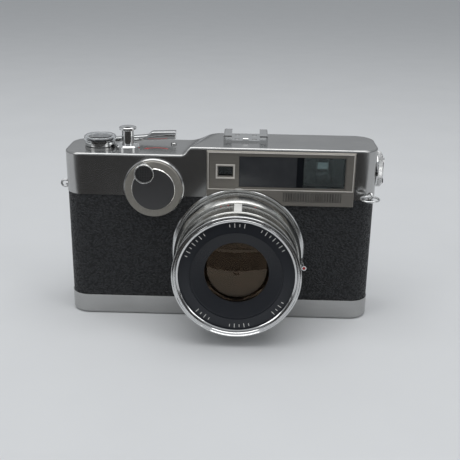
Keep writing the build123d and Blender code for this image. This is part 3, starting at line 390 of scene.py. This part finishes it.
alloy = turned_finish("matt_alloy", (0.56, 0.56, 0.54), 0.17, 1.0, 0.0015)
alloy.coat("lens_mount_tube")
black_alloy = turned_finish("black_alloy", (0.010, 0.012, 0.017), 0.30, 0.0, 0.004)
black_alloy.coat("shutter_housing", "middle_collar", "name_ring", "counter_dial")

white_paint = Finish("white_paint", Specular_IOR_Level=0.4)
chalk = white_paint.noise(white_paint.place(), 5.0, 3.0)
white_paint.set(
    Base_Color=white_paint.blend(chalk, (0.62, 0.62, 0.60), (0.78, 0.78, 0.75)),
    Roughness=white_paint.spread(chalk, 0.3, 0.7, 0.45, 0.6),
)

ink = Finish("black_ink", Specular_IOR_Level=0.4)
soot = ink.noise(ink.place(), 5.0, 3.0)
ink.set(Base_Color=ink.blend(soot, (0.010, 0.010, 0.011), (0.022, 0.022, 0.023)), Roughness=soot * 0.2 + 0.4)

red_paint = Finish("red_paint", Specular_IOR_Level=0.4)
fade = red_paint.noise(red_paint.place(), 4.0, 3.0)
red_paint.set(
    Base_Color=red_paint.blend(fade, (0.34, 0.015, 0.018), (0.46, 0.030, 0.028)),
    Roughness=fade * 0.2 + 0.4,
)


# ---- Focus ring ----
# A broad satin ring: a fine milled band for the fingers near the body, then a plain band with
# the distance scale, and a polished bevel down to the nose.
def spun(corners, steps):
    """A solid of revolution about Z from its closed (radius, station) outline, in millimetres."""
    mesh = bmesh.new()
    points = [mesh.verts.new((radius * mm, 0, station * mm)) for radius, station in corners]
    edges = [mesh.edges.new(pair) for pair in zip(points, points[1:] + points[:1])]
    bmesh.ops.spin(
        mesh, geom=points + edges, axis=(0, 0, 1), cent=(0, 0, 0), angle=2 * pi, steps=steps, use_merge=True
    )
    bmesh.ops.recalc_face_normals(mesh, faces=mesh.faces)
    return mesh


def flute(mesh, steps, low, high, depth):
    """Sinks every other corner of a spun band between two stations, which leaves fine ribs."""
    for point in mesh.verts:
        turn = round(atan2(point.co.y, point.co.x) / (2 * pi) * steps)
        if turn % 2 and low < point.co.z / mm < high:
            point.co.xy *= 1 - depth * mm / point.co.xy.length


def add_piece(name, mesh, place, finish, body, stands_for=(), crease=30):
    """Puts a mesh in its place as a piece of the object that rides on a body."""
    mesh.transform(place)
    data = bpy.data.meshes.new(name)
    mesh.to_mesh(data)
    mesh.free()
    data.materials.append(finish.material)
    data.shade_smooth()
    data.set_sharp_from_angle(angle=radians(crease))
    made = bpy.data.objects.new(name, data)
    bpy.context.scene.collection.objects.link(made)
    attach(made, body)
    if stands_for:
        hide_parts(*stands_for)
    return made


def stations(node):
    """Where a lens part starts and ends, in millimetres forward from the body's front."""
    low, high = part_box(node)
    return (lens_front - high.y) / mm, (lens_front - low.y) / mm


focus_radius = half_height("focus_ring")
focus_start, focus_end = stations("focus_ring")
flange_width = 2.5
nose_drop = 1.2
focus_bore = half_height("lens_mount_tube") - flange_width
nose_radius = focus_radius - nose_drop
focus_ribs = 230
focus_mesh = spun(
    [
        (focus_bore, focus_start), (focus_radius - 0.25, focus_start), (focus_radius, focus_start + 0.25),
        (focus_radius, focus_start + 0.8), (focus_radius - 0.1, focus_start + 0.85),
        (focus_radius - 0.1, focus_start + 1.0), (focus_radius, focus_start + 1.2),
        (focus_radius, focus_start + 3.5), (focus_radius - 0.1, focus_start + 3.7),
        (focus_radius - 0.1, focus_start + 3.85), (focus_radius, focus_start + 3.95),
        (focus_radius, focus_start + 6.9), (focus_radius - 0.06, focus_start + 7.15),
        (nose_radius + 0.12, focus_end - 0.2), (nose_radius - 0.05, focus_end),
        (nose_radius - 0.6, focus_end), (nose_radius - 0.6, focus_end - 1.3), (focus_bore, focus_end - 1.3),
    ],
    2 * focus_ribs,
)
flute(focus_mesh, 2 * focus_ribs, focus_start + 1.1, focus_start + 3.6, 0.36)
add_piece("focus_ring_milled", focus_mesh, lens_seat, alloy, "focus_ring", ["focus_ring"])


def figure(text, height):
    """A printed figure as a thin mesh, its middle at the origin and its height in millimetres."""
    curve = bpy.data.curves.new("figure", "FONT")
    curve.body = text
    curve.align_x = "CENTER"
    curve.align_y = "CENTER"
    curve.size = height * 1.4 * mm
    curve.extrude = 0.02 * mm
    curve.resolution_u = 3
    holder = bpy.data.objects.new("figure", curve)
    data = bpy.data.meshes.new_from_object(holder)
    bpy.data.objects.remove(holder)
    return data


def on_ring(turn, radius, station):
    """A place on a ring's outside, turned clockwise from the top, that is read from in front."""
    lying = Matrix.Rotation(-pi / 2, 4, "X")
    outward = Matrix.Translation((0, radius * mm, station * mm))
    return Matrix.Rotation(-radians(turn), 4, "Z") @ outward @ lying


def stamp(mesh, data, place):
    """Adds another mesh to this one at a place."""
    before = len(mesh.verts)
    mesh.from_mesh(data)
    mesh.verts.ensure_lookup_table()
    bmesh.ops.transform(mesh, matrix=place, verts=mesh.verts[before:])


def tick(mesh, width, length, place):
    """Adds one painted line to a mesh."""
    size = Matrix.Diagonal((width * mm, length * mm, 0.05 * mm, 1))
    bmesh.ops.create_cube(mesh, size=1.0, matrix=place @ size)


distances = {"\u221e": 0, "10": 11, "5": 22, "3": 34, "2": 48, "1.5": 61, "1.2": 73, "1": 84, "0.8": 95}
scale_mesh = bmesh.new()
for text, turn in distances.items():
    stamp(scale_mesh, figure(text, 1.35), on_ring(turn, focus_radius + 0.01, focus_start + 4.9))
    tick(scale_mesh, 0.22, 0.8, on_ring(turn, focus_radius + 0.01, focus_start + 6.2))
add_piece("distance_scale", scale_mesh, lens_seat, ink, "focus_ring")


# ---- Shutter speed ring ----
# The rear band carries the speeds. The rest is finely milled up to a bright front edge, with a
# raised white index block across it.
speed_radius = half_height("speed_ring")
speed_start, speed_end = stations("speed_ring")
drum_step = 1.7
drum_radius = half_height("shutter_housing") - drum_step
speed_ribs = 240
speed_mesh = spun(
    [
        (drum_radius + 0.05, speed_start), (speed_radius - 0.2, speed_start),
        (speed_radius, speed_start + 0.2),
        (speed_radius, speed_start + 2.9), (speed_radius - 0.25, speed_start + 3.0),
        (speed_radius - 0.25, speed_start + 3.2), (speed_radius, speed_start + 3.5),
        (speed_radius, speed_end - 1.1), (speed_radius - 0.2, speed_end - 0.9),
        (speed_radius - 0.2, speed_end - 0.8), (speed_radius, speed_end - 0.65),
        (speed_radius, speed_end - 0.35), (speed_radius - 0.15, speed_end - 0.1),
        (speed_radius - 0.45, speed_end), (drum_radius + 0.05, speed_end),
    ],
    2 * speed_ribs,
)
flute(speed_mesh, 2 * speed_ribs, speed_start + 3.3, speed_end - 1.0, 0.42)
add_piece("speed_ring_milled", speed_mesh, lens_seat, alloy, "speed_ring", ["speed_ring"])

block_mesh = bmesh.new()
block_width = 3.4
block_height = 0.5
block_length = speed_end - speed_start - 0.9
block_place = on_ring(0, speed_radius, (speed_start + speed_end) / 2 - 0.1)
block_size = Matrix.Diagonal((block_width * mm, block_length * mm, block_height * mm, 1))
bmesh.ops.create_cube(block_mesh, size=1.0, matrix=block_place @ block_size)
bmesh.ops.bevel(
    block_mesh, geom=block_mesh.edges[:], offset=0.12 * mm, segments=2, affect="EDGES",
    profile=0.5, material=-1,
)
add_piece("index_block", block_mesh, lens_seat, white_paint, "speed_ring")

speeds = ["B", "1", "2", "4", "8", "15", "30", "60", "125", "250", "500"]
speed_step = 15
first_speed = -67.5
speed_print = bmesh.new()
for index, text in enumerate(speeds):
    turn = index * speed_step + first_speed
    stamp(speed_print, figure(text, 1.3), on_ring(turn, speed_radius + 0.01, speed_start + 1.5))
add_piece("speed_figures", speed_print, lens_seat, ink, "speed_ring")
dots = bmesh.new()
for turn in (-16, -9, 16):
    tick(dots, 0.5, 0.9, on_ring(turn, speed_radius + 0.01, speed_start + 1.5))
add_piece("speed_dots", dots, lens_seat, red_paint, "speed_ring")


# ---- Aperture ring and filter rim ----
# The narrow front ring carries the f-numbers behind a fine edge. Inside the bright rim is the
# filter thread.
aperture_radius = half_height("aperture_ring")
aperture_start, aperture_end = stations("aperture_ring")
aperture_ribs = 200
aperture_mesh = spun(
    [
        (drum_radius + 0.05, aperture_start), (aperture_radius - 0.3, aperture_start),
        (aperture_radius, aperture_start + 0.3), (aperture_radius, aperture_start + 2.7),
        (aperture_radius - 0.2, aperture_start + 2.85), (aperture_radius, aperture_start + 3.1),
        (aperture_radius, aperture_end - 0.5), (aperture_radius - 0.2, aperture_end - 0.3),
        (aperture_radius - 0.2, aperture_end), (aperture_radius - 0.9, aperture_end),
        (aperture_radius - 0.9, aperture_end - 1.4), (drum_radius + 0.05, aperture_end - 1.4),
    ],
    2 * aperture_ribs,
)
flute(aperture_mesh, 2 * aperture_ribs, aperture_start + 3.0, aperture_end - 0.4, 0.22)
add_piece(
    "aperture_ring_milled", aperture_mesh, lens_seat, alloy, "aperture_ring",
    ["aperture_ring"],
)

stops = ["2", "2.8", "4", "5.6", "8", "11", "16", "22"]
stop_arc = 90
first_stop = -50
stop_print = bmesh.new()
for index, text in enumerate(stops):
    turn = index * stop_arc / 7 + first_stop
    stamp(stop_print, figure(text, 1.25), on_ring(turn, aperture_radius + 0.01, aperture_start + 1.5))
add_piece("aperture_figures", stop_print, lens_seat, ink, "aperture_ring")

rim_radius = half_height("filter_rim")
rim_start, rim_front = stations("filter_rim")
thread_end = rim_front - 0.75
thread_radius = half_height("name_ring") + 0.05
name_back, name_front = stations("name_ring")
neck_radius = thread_radius + 0.6
rim_mesh = spun(
    [
        (thread_radius - 1.4, rim_start), (neck_radius, rim_start), (neck_radius, aperture_end + 0.1),
        (aperture_radius - 0.1, aperture_end + 0.1), (aperture_radius, aperture_end + 0.25),
        (rim_radius - 0.2, rim_front - 0.75), (rim_radius, rim_front - 0.6), (rim_radius, rim_front - 0.25),
        (rim_radius - 0.12, rim_front - 0.06), (rim_radius - 0.3, rim_front),
        (rim_radius - 0.62, rim_front - 0.02),
        (rim_radius - 0.85, rim_front - 0.3), (rim_radius - 1.35, rim_front - 0.36),
        (rim_radius - 1.5, rim_front - 0.22), (rim_radius - 1.75, rim_front - 0.24),
        (rim_radius - 1.95, rim_front - 0.55), (thread_radius, rim_front - 0.7), (thread_radius, name_back),
        (thread_radius - 1.4, name_back),
    ],
    192,
)
add_piece("turned_filter_rim", rim_mesh, lens_seat, bright, "lens_unit", ["filter_rim"])

ridges = [(thread_radius + 0.05, thread_end), (thread_radius + 0.05, thread_end - 1.0)]
for index in range(4):
    foot = thread_end - 1.0 + index * 0.25
    ridges += [(thread_radius - 0.02, foot + 0.02), (thread_radius - 0.2, foot + 0.12)]
ridges.append((thread_radius - 0.02, thread_end))
add_piece("filter_ridges", spun(ridges, 160), lens_seat, bright, "lens_unit")


# ---- Name ring and cone ----
# The black ring round the glass has white divisions where lettering would be, in short groups.
# Inside it a cone of fine black steps keeps stray light off the glass.
name_radius = (half_height("name_ring") + half_height("front_baffle")) / 2 + 0.2
division_pitch = 5.2
groups = {-52: 7, 0: 4, 42: 7, 128: 4, 176: 5, 218: 4}
divisions = bmesh.new()
for middle, count in groups.items():
    for index in range(count):
        turn = middle + (index - (count - 1) / 2) * division_pitch
        spot = Matrix.Rotation(-radians(turn), 4, "Z")
        spot @= Matrix.Translation((0, name_radius * mm, (name_front + 0.01) * mm))
        tick(divisions, 0.28, 1.9 if index % 2 else 1.2, spot)
add_piece("name_ring_divisions", divisions, lens_seat, white_paint, "lens_unit")

cone_start, cone_front = stations("front_baffle")
cone_outer = half_height("front_baffle")
cone_mouth = cone_outer - 1.2
glass_radius = half_height("front_element")
cone_lip = glass_radius - 0.8
cone_foot = stations("front_element")[1] + 0.4
cone_steps = 14
cone = [(glass_radius + 0.05, cone_start), (cone_outer, cone_start), (cone_outer, cone_front)]
for index in range(cone_steps):
    radius = cone_mouth - (cone_mouth - cone_lip) * index / cone_steps
    depth = cone_front - (cone_front - cone_foot) * index / cone_steps
    fall = (cone_front - cone_foot) / cone_steps
    cone += [(radius, depth), (radius - 0.05, depth - fall * 0.75)]
cone += [(cone_lip, cone_foot), (cone_lip, cone_foot - 0.3), (glass_radius + 0.05, cone_foot - 0.5)]
add_piece(
    "stepped_cone", spun(cone, 160), lens_seat, black_alloy, "lens_unit",
    ["front_baffle"],
)


# ---- Flash synchroniser pin ----
# The lever ring carries a small pin beside the lens, and the pin's end has a red dot with a
# softened edge.
pin_low, pin_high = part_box("sync_lever")
pin_turn = radians(-9.6)
pin_radius = 1.15
dot_shift = 0.42
pin_reach = pin_high.x / mm - lens_centre.x / mm - pin_radius
pin_spot = Matrix.Rotation(pin_turn, 4, "Z") @ Matrix.Translation(((pin_reach + dot_shift) * mm, 0, 0))
pin_station = (lens_front - pin_low.y) / mm
dot = spun(
    [
        (0.0, pin_station - 0.1), (0.72, pin_station - 0.1), (0.70, pin_station + 0.04),
        (0.4, pin_station + 0.1), (0.0, pin_station + 0.12),
    ],
    32,
)
bmesh.ops.remove_doubles(dot, verts=dot.verts, dist=1e-7)
add_piece("sync_dot", dot, lens_seat @ pin_spot, red_paint, "sync_lever")


# ---- Bezel mouldings ----
# The bezel is pressed with a fine raised line round the windows, and the small window has a
# bevelled frame of its own.
def moulding(x0, x1, z0, z1, width, rise):
    """A raised frame with softened edges, facing forward, in millimetres from the bezel's face."""
    mesh = bmesh.new()
    size = Matrix.Diagonal(((x1 - x0) * mm, (z1 - z0) * mm, 1, 1))
    spot = Matrix.Translation(((x0 + x1) / 2 * mm, (z0 + z1) / 2 * mm, 0))
    bmesh.ops.create_grid(mesh, x_segments=1, y_segments=1, size=0.5, matrix=spot @ size)
    inner = mesh.faces[:]
    bmesh.ops.inset_region(
        mesh, faces=inner, thickness=width * mm, use_boundary=True, use_even_offset=True
    )
    bmesh.ops.delete(mesh, geom=inner, context="FACES_ONLY")
    rim = bmesh.ops.extrude_face_region(mesh, geom=mesh.faces[:])["geom"]
    raised = [item for item in rim if isinstance(item, bmesh.types.BMVert)]
    bmesh.ops.translate(mesh, vec=(0, 0, rise * mm), verts=raised)
    bmesh.ops.recalc_face_normals(mesh, faces=mesh.faces)
    tops = [edge for edge in mesh.edges if all(corner in raised for corner in edge.verts)]
    tops = [edge for edge in tops if edge.calc_face_angle(0) > 0.5]
    bmesh.ops.bevel(
        mesh, geom=tops, offset=min(width, rise) * 0.45 * mm, segments=2, affect="EDGES",
        profile=0.5, material=-1,
    )
    return mesh


bezel_low, bezel_high = [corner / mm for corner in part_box("window_bezel")]
bezel_face = Matrix.Translation((0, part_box("window_bezel")[0].y, 0)) @ Matrix.Rotation(pi / 2, 4, "X")
window_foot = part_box("frosted_window")[0].z / mm - 1.4
line_inset = 0.5
# The raised line and the small frame are coloured far lighter than the bezel: a painted highlight along
# their edges.
outline = moulding(
    bezel_low.x + line_inset, bezel_high.x - line_inset, window_foot, bezel_high.z - line_inset,
    width=0.4, rise=0.22,
)
add_piece("bezel_line", outline, bezel_face, painted_highlight_plate, "camera_body")
frame_left, frame_right = -1.9, 6.7
frame_foot, frame_top = 68.7, 75.4
small_frame = moulding(frame_left, frame_right, frame_foot, frame_top, width=0.75, rise=0.3)
add_piece("small_window_frame", small_frame, bezel_face, painted_highlight_plate, "camera_body")


# ---- Advance lever ----
# One bright casting: a round hub under the counter, a slim arm that rises along the deck, and
# a taller thumb block at its end, with every edge rounded.
dial_middle = middle_of("counter_dial")
lever_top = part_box("advance_lever")[1].z / mm
hub_height = 2.3
hub_foot = lever_top - hub_height
hub_radius = dial_middle.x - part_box("advance_lever")[0].x / mm
sleeve_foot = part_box("advance_lever")[0].z / mm
lever_mesh = spun(
    [
        (2.05, sleeve_foot), (2.9, sleeve_foot), (2.9, hub_foot), (hub_radius - 0.5, hub_foot),
        (hub_radius, hub_foot + 0.3), (hub_radius, hub_foot + 1.3), (hub_radius - 0.25, hub_foot + 1.4),
        (hub_radius - 0.25, hub_foot + 1.55), (hub_radius, hub_foot + 1.65),
        (hub_radius, lever_top - 0.2), (hub_radius - 0.2, lever_top), (2.05, lever_top),
    ],
    96,
)
arm_side = [
    (3.5, 0.25), (21.5, 0.8), (33.6, 1.5), (34.2, 1.9), (34.2, 5.1), (33.8, 5.35), (23.8, 5.1), (22.6, 4.8),
    (21.4, 3.6), (20.4, 3.35), (12.0, 2.7), (3.5, 2.2),
]
arm = bmesh.new()
corners = [arm.verts.new((x * mm, 0, (hub_foot + z) * mm)) for x, z in arm_side]
side_face = arm.faces.new(corners)
grown = bmesh.ops.extrude_face_region(arm, geom=[side_face])["geom"]
far_side = [item for item in grown if isinstance(item, bmesh.types.BMVert)]
for point in arm.verts:
    along = point.co.x / mm
    front_line = 4.9 + 0.033 * along
    back_line = 7.3 + 0.09 * along
    point.co.y = (back_line if point in far_side else front_line) * mm
bmesh.ops.recalc_face_normals(arm, faces=arm.faces)
long_edges = [edge for edge in arm.edges if len({corner in far_side for corner in edge.verts}) == 1]
bmesh.ops.bevel(arm, geom=long_edges, offset=0.42 * mm, segments=3, affect="EDGES", profile=0.5, material=-1)
arm_data = bpy.data.meshes.new("arm")
arm.to_mesh(arm_data)
arm.free()
lever_mesh.from_mesh(arm_data)
hub_place = Matrix.Translation((dial_middle.x * mm, dial_middle.y * mm, 0))
add_piece(
    "wind_lever", lever_mesh, hub_place, bright, "advance_lever",
    ["advance_lever", "lever_tip"],
)


# ---- Film counter ----
# White figures and divisions on the black dial under the dome, ten degrees to a frame, with
# a figure at every fifth.
dial_radius = (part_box("counter_dial")[1].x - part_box("counter_dial")[0].x) / 2 / mm
dial_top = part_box("counter_dial")[1].z / mm + 0.01
counter_print = bmesh.new()
for frame_number in range(36):
    turn = Matrix.Rotation(-radians(frame_number * 10), 4, "Z")
    line = 0.9 if frame_number % 5 == 0 else 0.5
    tick(counter_print, 0.14, line, turn @ Matrix.Translation((0, (dial_radius - 0.6) * mm, dial_top * mm)))
for frame_number in range(0, 36, 5):
    turn = Matrix.Rotation(-radians(frame_number * 10), 4, "Z")
    spot = turn @ Matrix.Translation((0, (dial_radius - 2.0) * mm, dial_top * mm))
    stamp(counter_print, figure(str(frame_number), 1.2), spot)
add_piece("counter_figures", counter_print, hub_place, white_paint, "counter_dial")


# ---- Winding arrow ----
# A red curved arrow printed on the deck beside the lever shows which way to wind. It is as
# thin as paint.
hub_gap = 0.8
low_deck = hub_foot - hub_gap
arrow_inner, arrow_middle, arrow_outer = 7.2, 7.6, 8.0
arrow_x, arrow_y = -29.3, -10.4
arrow = bmesh.new()
ends = [arrow.verts.new((radius * mm, 0, 0)) for radius in (arrow_inner, arrow_outer)]
line = arrow.edges.new(ends)
bmesh.ops.spin(arrow, geom=ends + [line], axis=(0, 0, 1), cent=(0, 0, 0), angle=radians(75), steps=20)
head = Matrix.Rotation(radians(80), 4, "Z") @ Matrix.Translation((arrow_middle * mm, 0, 0))
head = head @ Matrix.Rotation(radians(90), 4, "Z")
bmesh.ops.create_circle(arrow, cap_ends=True, radius=1.5 * mm, segments=3, matrix=head)
bmesh.ops.recalc_face_normals(arrow, faces=arrow.faces)
bmesh.ops.solidify(arrow, geom=arrow.faces[:], thickness=0.02 * mm)
arrow_place = Matrix.Translation((arrow_x * mm, arrow_y * mm, (low_deck + 0.02) * mm))
arrow_place = arrow_place @ Matrix.Rotation(radians(50), 4, "Z")
add_piece("winding_arrow", arrow, arrow_place, red_paint, "camera_body")


# ---- Tripod thread ----
# Fine ridges inside the brass socket at the pitch of a tripod screw. They are closed rings and
# not a helix.
thread_pitch = 1.27
turns = 5
crest, root = 2.85, 3.17
thread = [(3.3, 0.5), (3.3, 0.5 + turns * thread_pitch)]
for index in reversed(range(turns)):
    foot = 0.5 + index * thread_pitch
    thread += [
        (root, foot + thread_pitch * 0.9), (crest, foot + thread_pitch * 0.55),
        (crest, foot + thread_pitch * 0.45), (root, foot + thread_pitch * 0.1),
    ]
add_piece("tripod_thread", spun(thread, 64), Matrix.Identity(4), brass, "camera_body")


# ---- Rewind knob ----
# A bright knob with a milled edge on the end of the body. The milling is relief in the
# finish.
milled = Finish("milled_chrome", Metallic=1.0)
knob_place = middle_of("rewind_base")
across = milled.axis("Y") - knob_place.y
upward = milled.axis("Z") - knob_place.z
angle = milled.node("Math", {"operation": "ARCTAN2"}, {0: across, 1: upward})
knob_ribs = 90
wave = milled.node("Math", {"operation": "SINE"}, {0: angle * knob_ribs})
scratches = milled.noise(milled.place(0.4, 6.0, 0.4), 1.0, 4.0, 0.7)
milled.set(
    Base_Color=milled.blend(scratches, (0.70, 0.70, 0.69), (0.78, 0.78, 0.775)),
    Roughness=scratches * 0.1 + 0.1,
)
milled.bump(wave + scratches * 0.05, 0.12)
milled.coat("rewind_knob")


# ---- Lens glass ----
# Ground and polished elements with an amber anti-reflection coating, which tints what
# they reflect; a trace of haze lies on the outside.
amber = Finish(
    "coated_glass", IOR=1.5, Transmission_Weight=1.0, Base_Color=(0.46, 0.41, 0.36),
    Specular_Tint=(1.0, 0.82, 0.64), Specular_IOR_Level=0.12,
)
bloom = amber.noise(amber.place(), 0.15, 4.0, 0.6)
amber.set(Roughness=amber.spread(bloom, 0.4, 0.9, 0.0, 0.02))
amber.coat("front_element", "inner_elements")

dome = Finish("clear_dome", IOR=1.49, Transmission_Weight=1.0, Base_Color=(0.95, 0.96, 0.97))
scuffs = dome.noise(dome.place(), 0.8, 4.0, 0.7)
dome.set(Roughness=dome.spread(scuffs, 0.45, 0.8, 0.0, 0.08))
dome.coat("counter_window")


# ---- Stage ----
# A wide pale floor, an even studio dome that is dark near the horizon, and soft boxes.
floor_mesh = bmesh.new()
bmesh.ops.create_grid(floor_mesh, x_segments=1, y_segments=1, size=6.0)
floor_data = bpy.data.meshes.new("floor")
floor_mesh.to_mesh(floor_data)
floor_mesh.free()
floor = bpy.data.objects.new("floor", floor_data)
bpy.context.scene.collection.objects.link(floor)
paper = Finish("floor_paper", Specular_IOR_Level=0.2, Roughness=0.8)
fibre = paper.noise(paper.place(), 0.02, 5.0)
paper.set(Base_Color=paper.blend(fibre, (0.60, 0.61, 0.62), (0.64, 0.65, 0.66)))
floor_data.materials.append(paper.material)

# A dark card lies in front, out of the picture. Only reflections see it, and it keeps the
# upright metal dark against the pale floor.
card_mesh = bmesh.new()
bmesh.ops.create_grid(card_mesh, x_segments=1, y_segments=1, size=0.5)
bmesh.ops.scale(card_mesh, vec=(0.70, 0.64, 1), verts=card_mesh.verts)
bmesh.ops.translate(card_mesh, vec=(0.0, -0.445, 0.0005), verts=card_mesh.verts)
card_data = bpy.data.meshes.new("dark_card")
card_mesh.to_mesh(card_data)
card_mesh.free()
card = bpy.data.objects.new("dark_card", card_data)
bpy.context.scene.collection.objects.link(card)
felt = Finish("card_felt", Specular_IOR_Level=0.1, Roughness=0.9)
nap = felt.noise(felt.place(), 0.3, 4.0)
felt.set(Base_Color=felt.blend(nap, (0.030, 0.028, 0.027), (0.040, 0.038, 0.036)))
card_data.materials.append(felt.material)
card.visible_camera = False
card.visible_diffuse = False
card.visible_shadow = False
card.visible_transmission = False

world = bpy.data.worlds.new("studio")
bpy.context.scene.world = world
world.use_nodes = True
tree = world.node_tree
tree.nodes.clear()
direction = tree.nodes.new("ShaderNodeTexCoord")
split = tree.nodes.new("ShaderNodeSeparateXYZ")
ramp = tree.nodes.new("ShaderNodeValToRGB")
ramp.color_ramp.elements[0].position = 0.46
ramp.color_ramp.elements[0].color = (0.035, 0.035, 0.038, 1)
ramp.color_ramp.elements[1].position = 0.64
ramp.color_ramp.elements[1].color = (0.46, 0.475, 0.49, 1)
lift = tree.nodes.new("ShaderNodeMapRange")
lift.inputs["From Min"].default_value = -1.0
background = tree.nodes.new("ShaderNodeBackground")
output = tree.nodes.new("ShaderNodeOutputWorld")
tree.links.new(direction.outputs["Generated"], split.inputs[0])
tree.links.new(split.outputs["Z"], lift.inputs["Value"])
tree.links.new(lift.outputs[0], ramp.inputs[0])
tree.links.new(ramp.outputs[0], background.inputs["Color"])
tree.links.new(background.outputs[0], output.inputs[0])


def soft_box(name, spot, target, size, watts):
    light = bpy.data.lights.new(name, "AREA")
    light.shape = "RECTANGLE"
    light.size, light.size_y = size
    light.energy = watts
    lamp = bpy.data.objects.new(name, light)
    lamp.location = spot
    lamp.rotation_mode = "QUATERNION"
    lamp.rotation_quaternion = (Vector(target) - Vector(spot)).to_track_quat("-Z", "Y")
    bpy.context.scene.collection.objects.link(lamp)


soft_box("overhead", (0.0, -0.10, 1.0), (0, 0, 0.05), (1.2, 0.8), 6.5)
soft_box("left_front", (-0.9, -0.7, 0.7), (0, 0, 0.05), (0.5, 0.7), 1.8)
soft_box("right_front", (0.9, -0.6, 0.6), (0, 0, 0.05), (0.4, 0.7), 1.2)


# ---- Camera ----
# It looks down a little on the front from where the picture was taken, with a small yaw and roll.
camera_data = bpy.data.cameras.new("camera")
camera_data.lens = 60.12
camera_data.sensor_width = 36.0
camera_data.clip_start = 0.01
camera_data.clip_end = 50.0
camera = bpy.data.objects.new("camera", camera_data)
bpy.context.scene.collection.objects.link(camera)
bpy.context.scene.camera = camera
yaw, tilt, roll = radians(-1.351), radians(20.03), radians(0.93)
ahead = Vector((sin(yaw) * cos(tilt), cos(yaw) * cos(tilt), -sin(tilt)))
level = Vector((cos(yaw), -sin(yaw), 0))
upright = level.cross(ahead)
side = level * cos(roll) + upright * sin(roll)
up = upright * cos(roll) - level * sin(roll)
camera.matrix_world = Matrix.Translation((0.012707, -0.34709, 0.165025)) @ Matrix(
    (side, up, -ahead)
).transposed().to_4x4()
bpy.context.scene.view_settings.view_transform = "Standard"
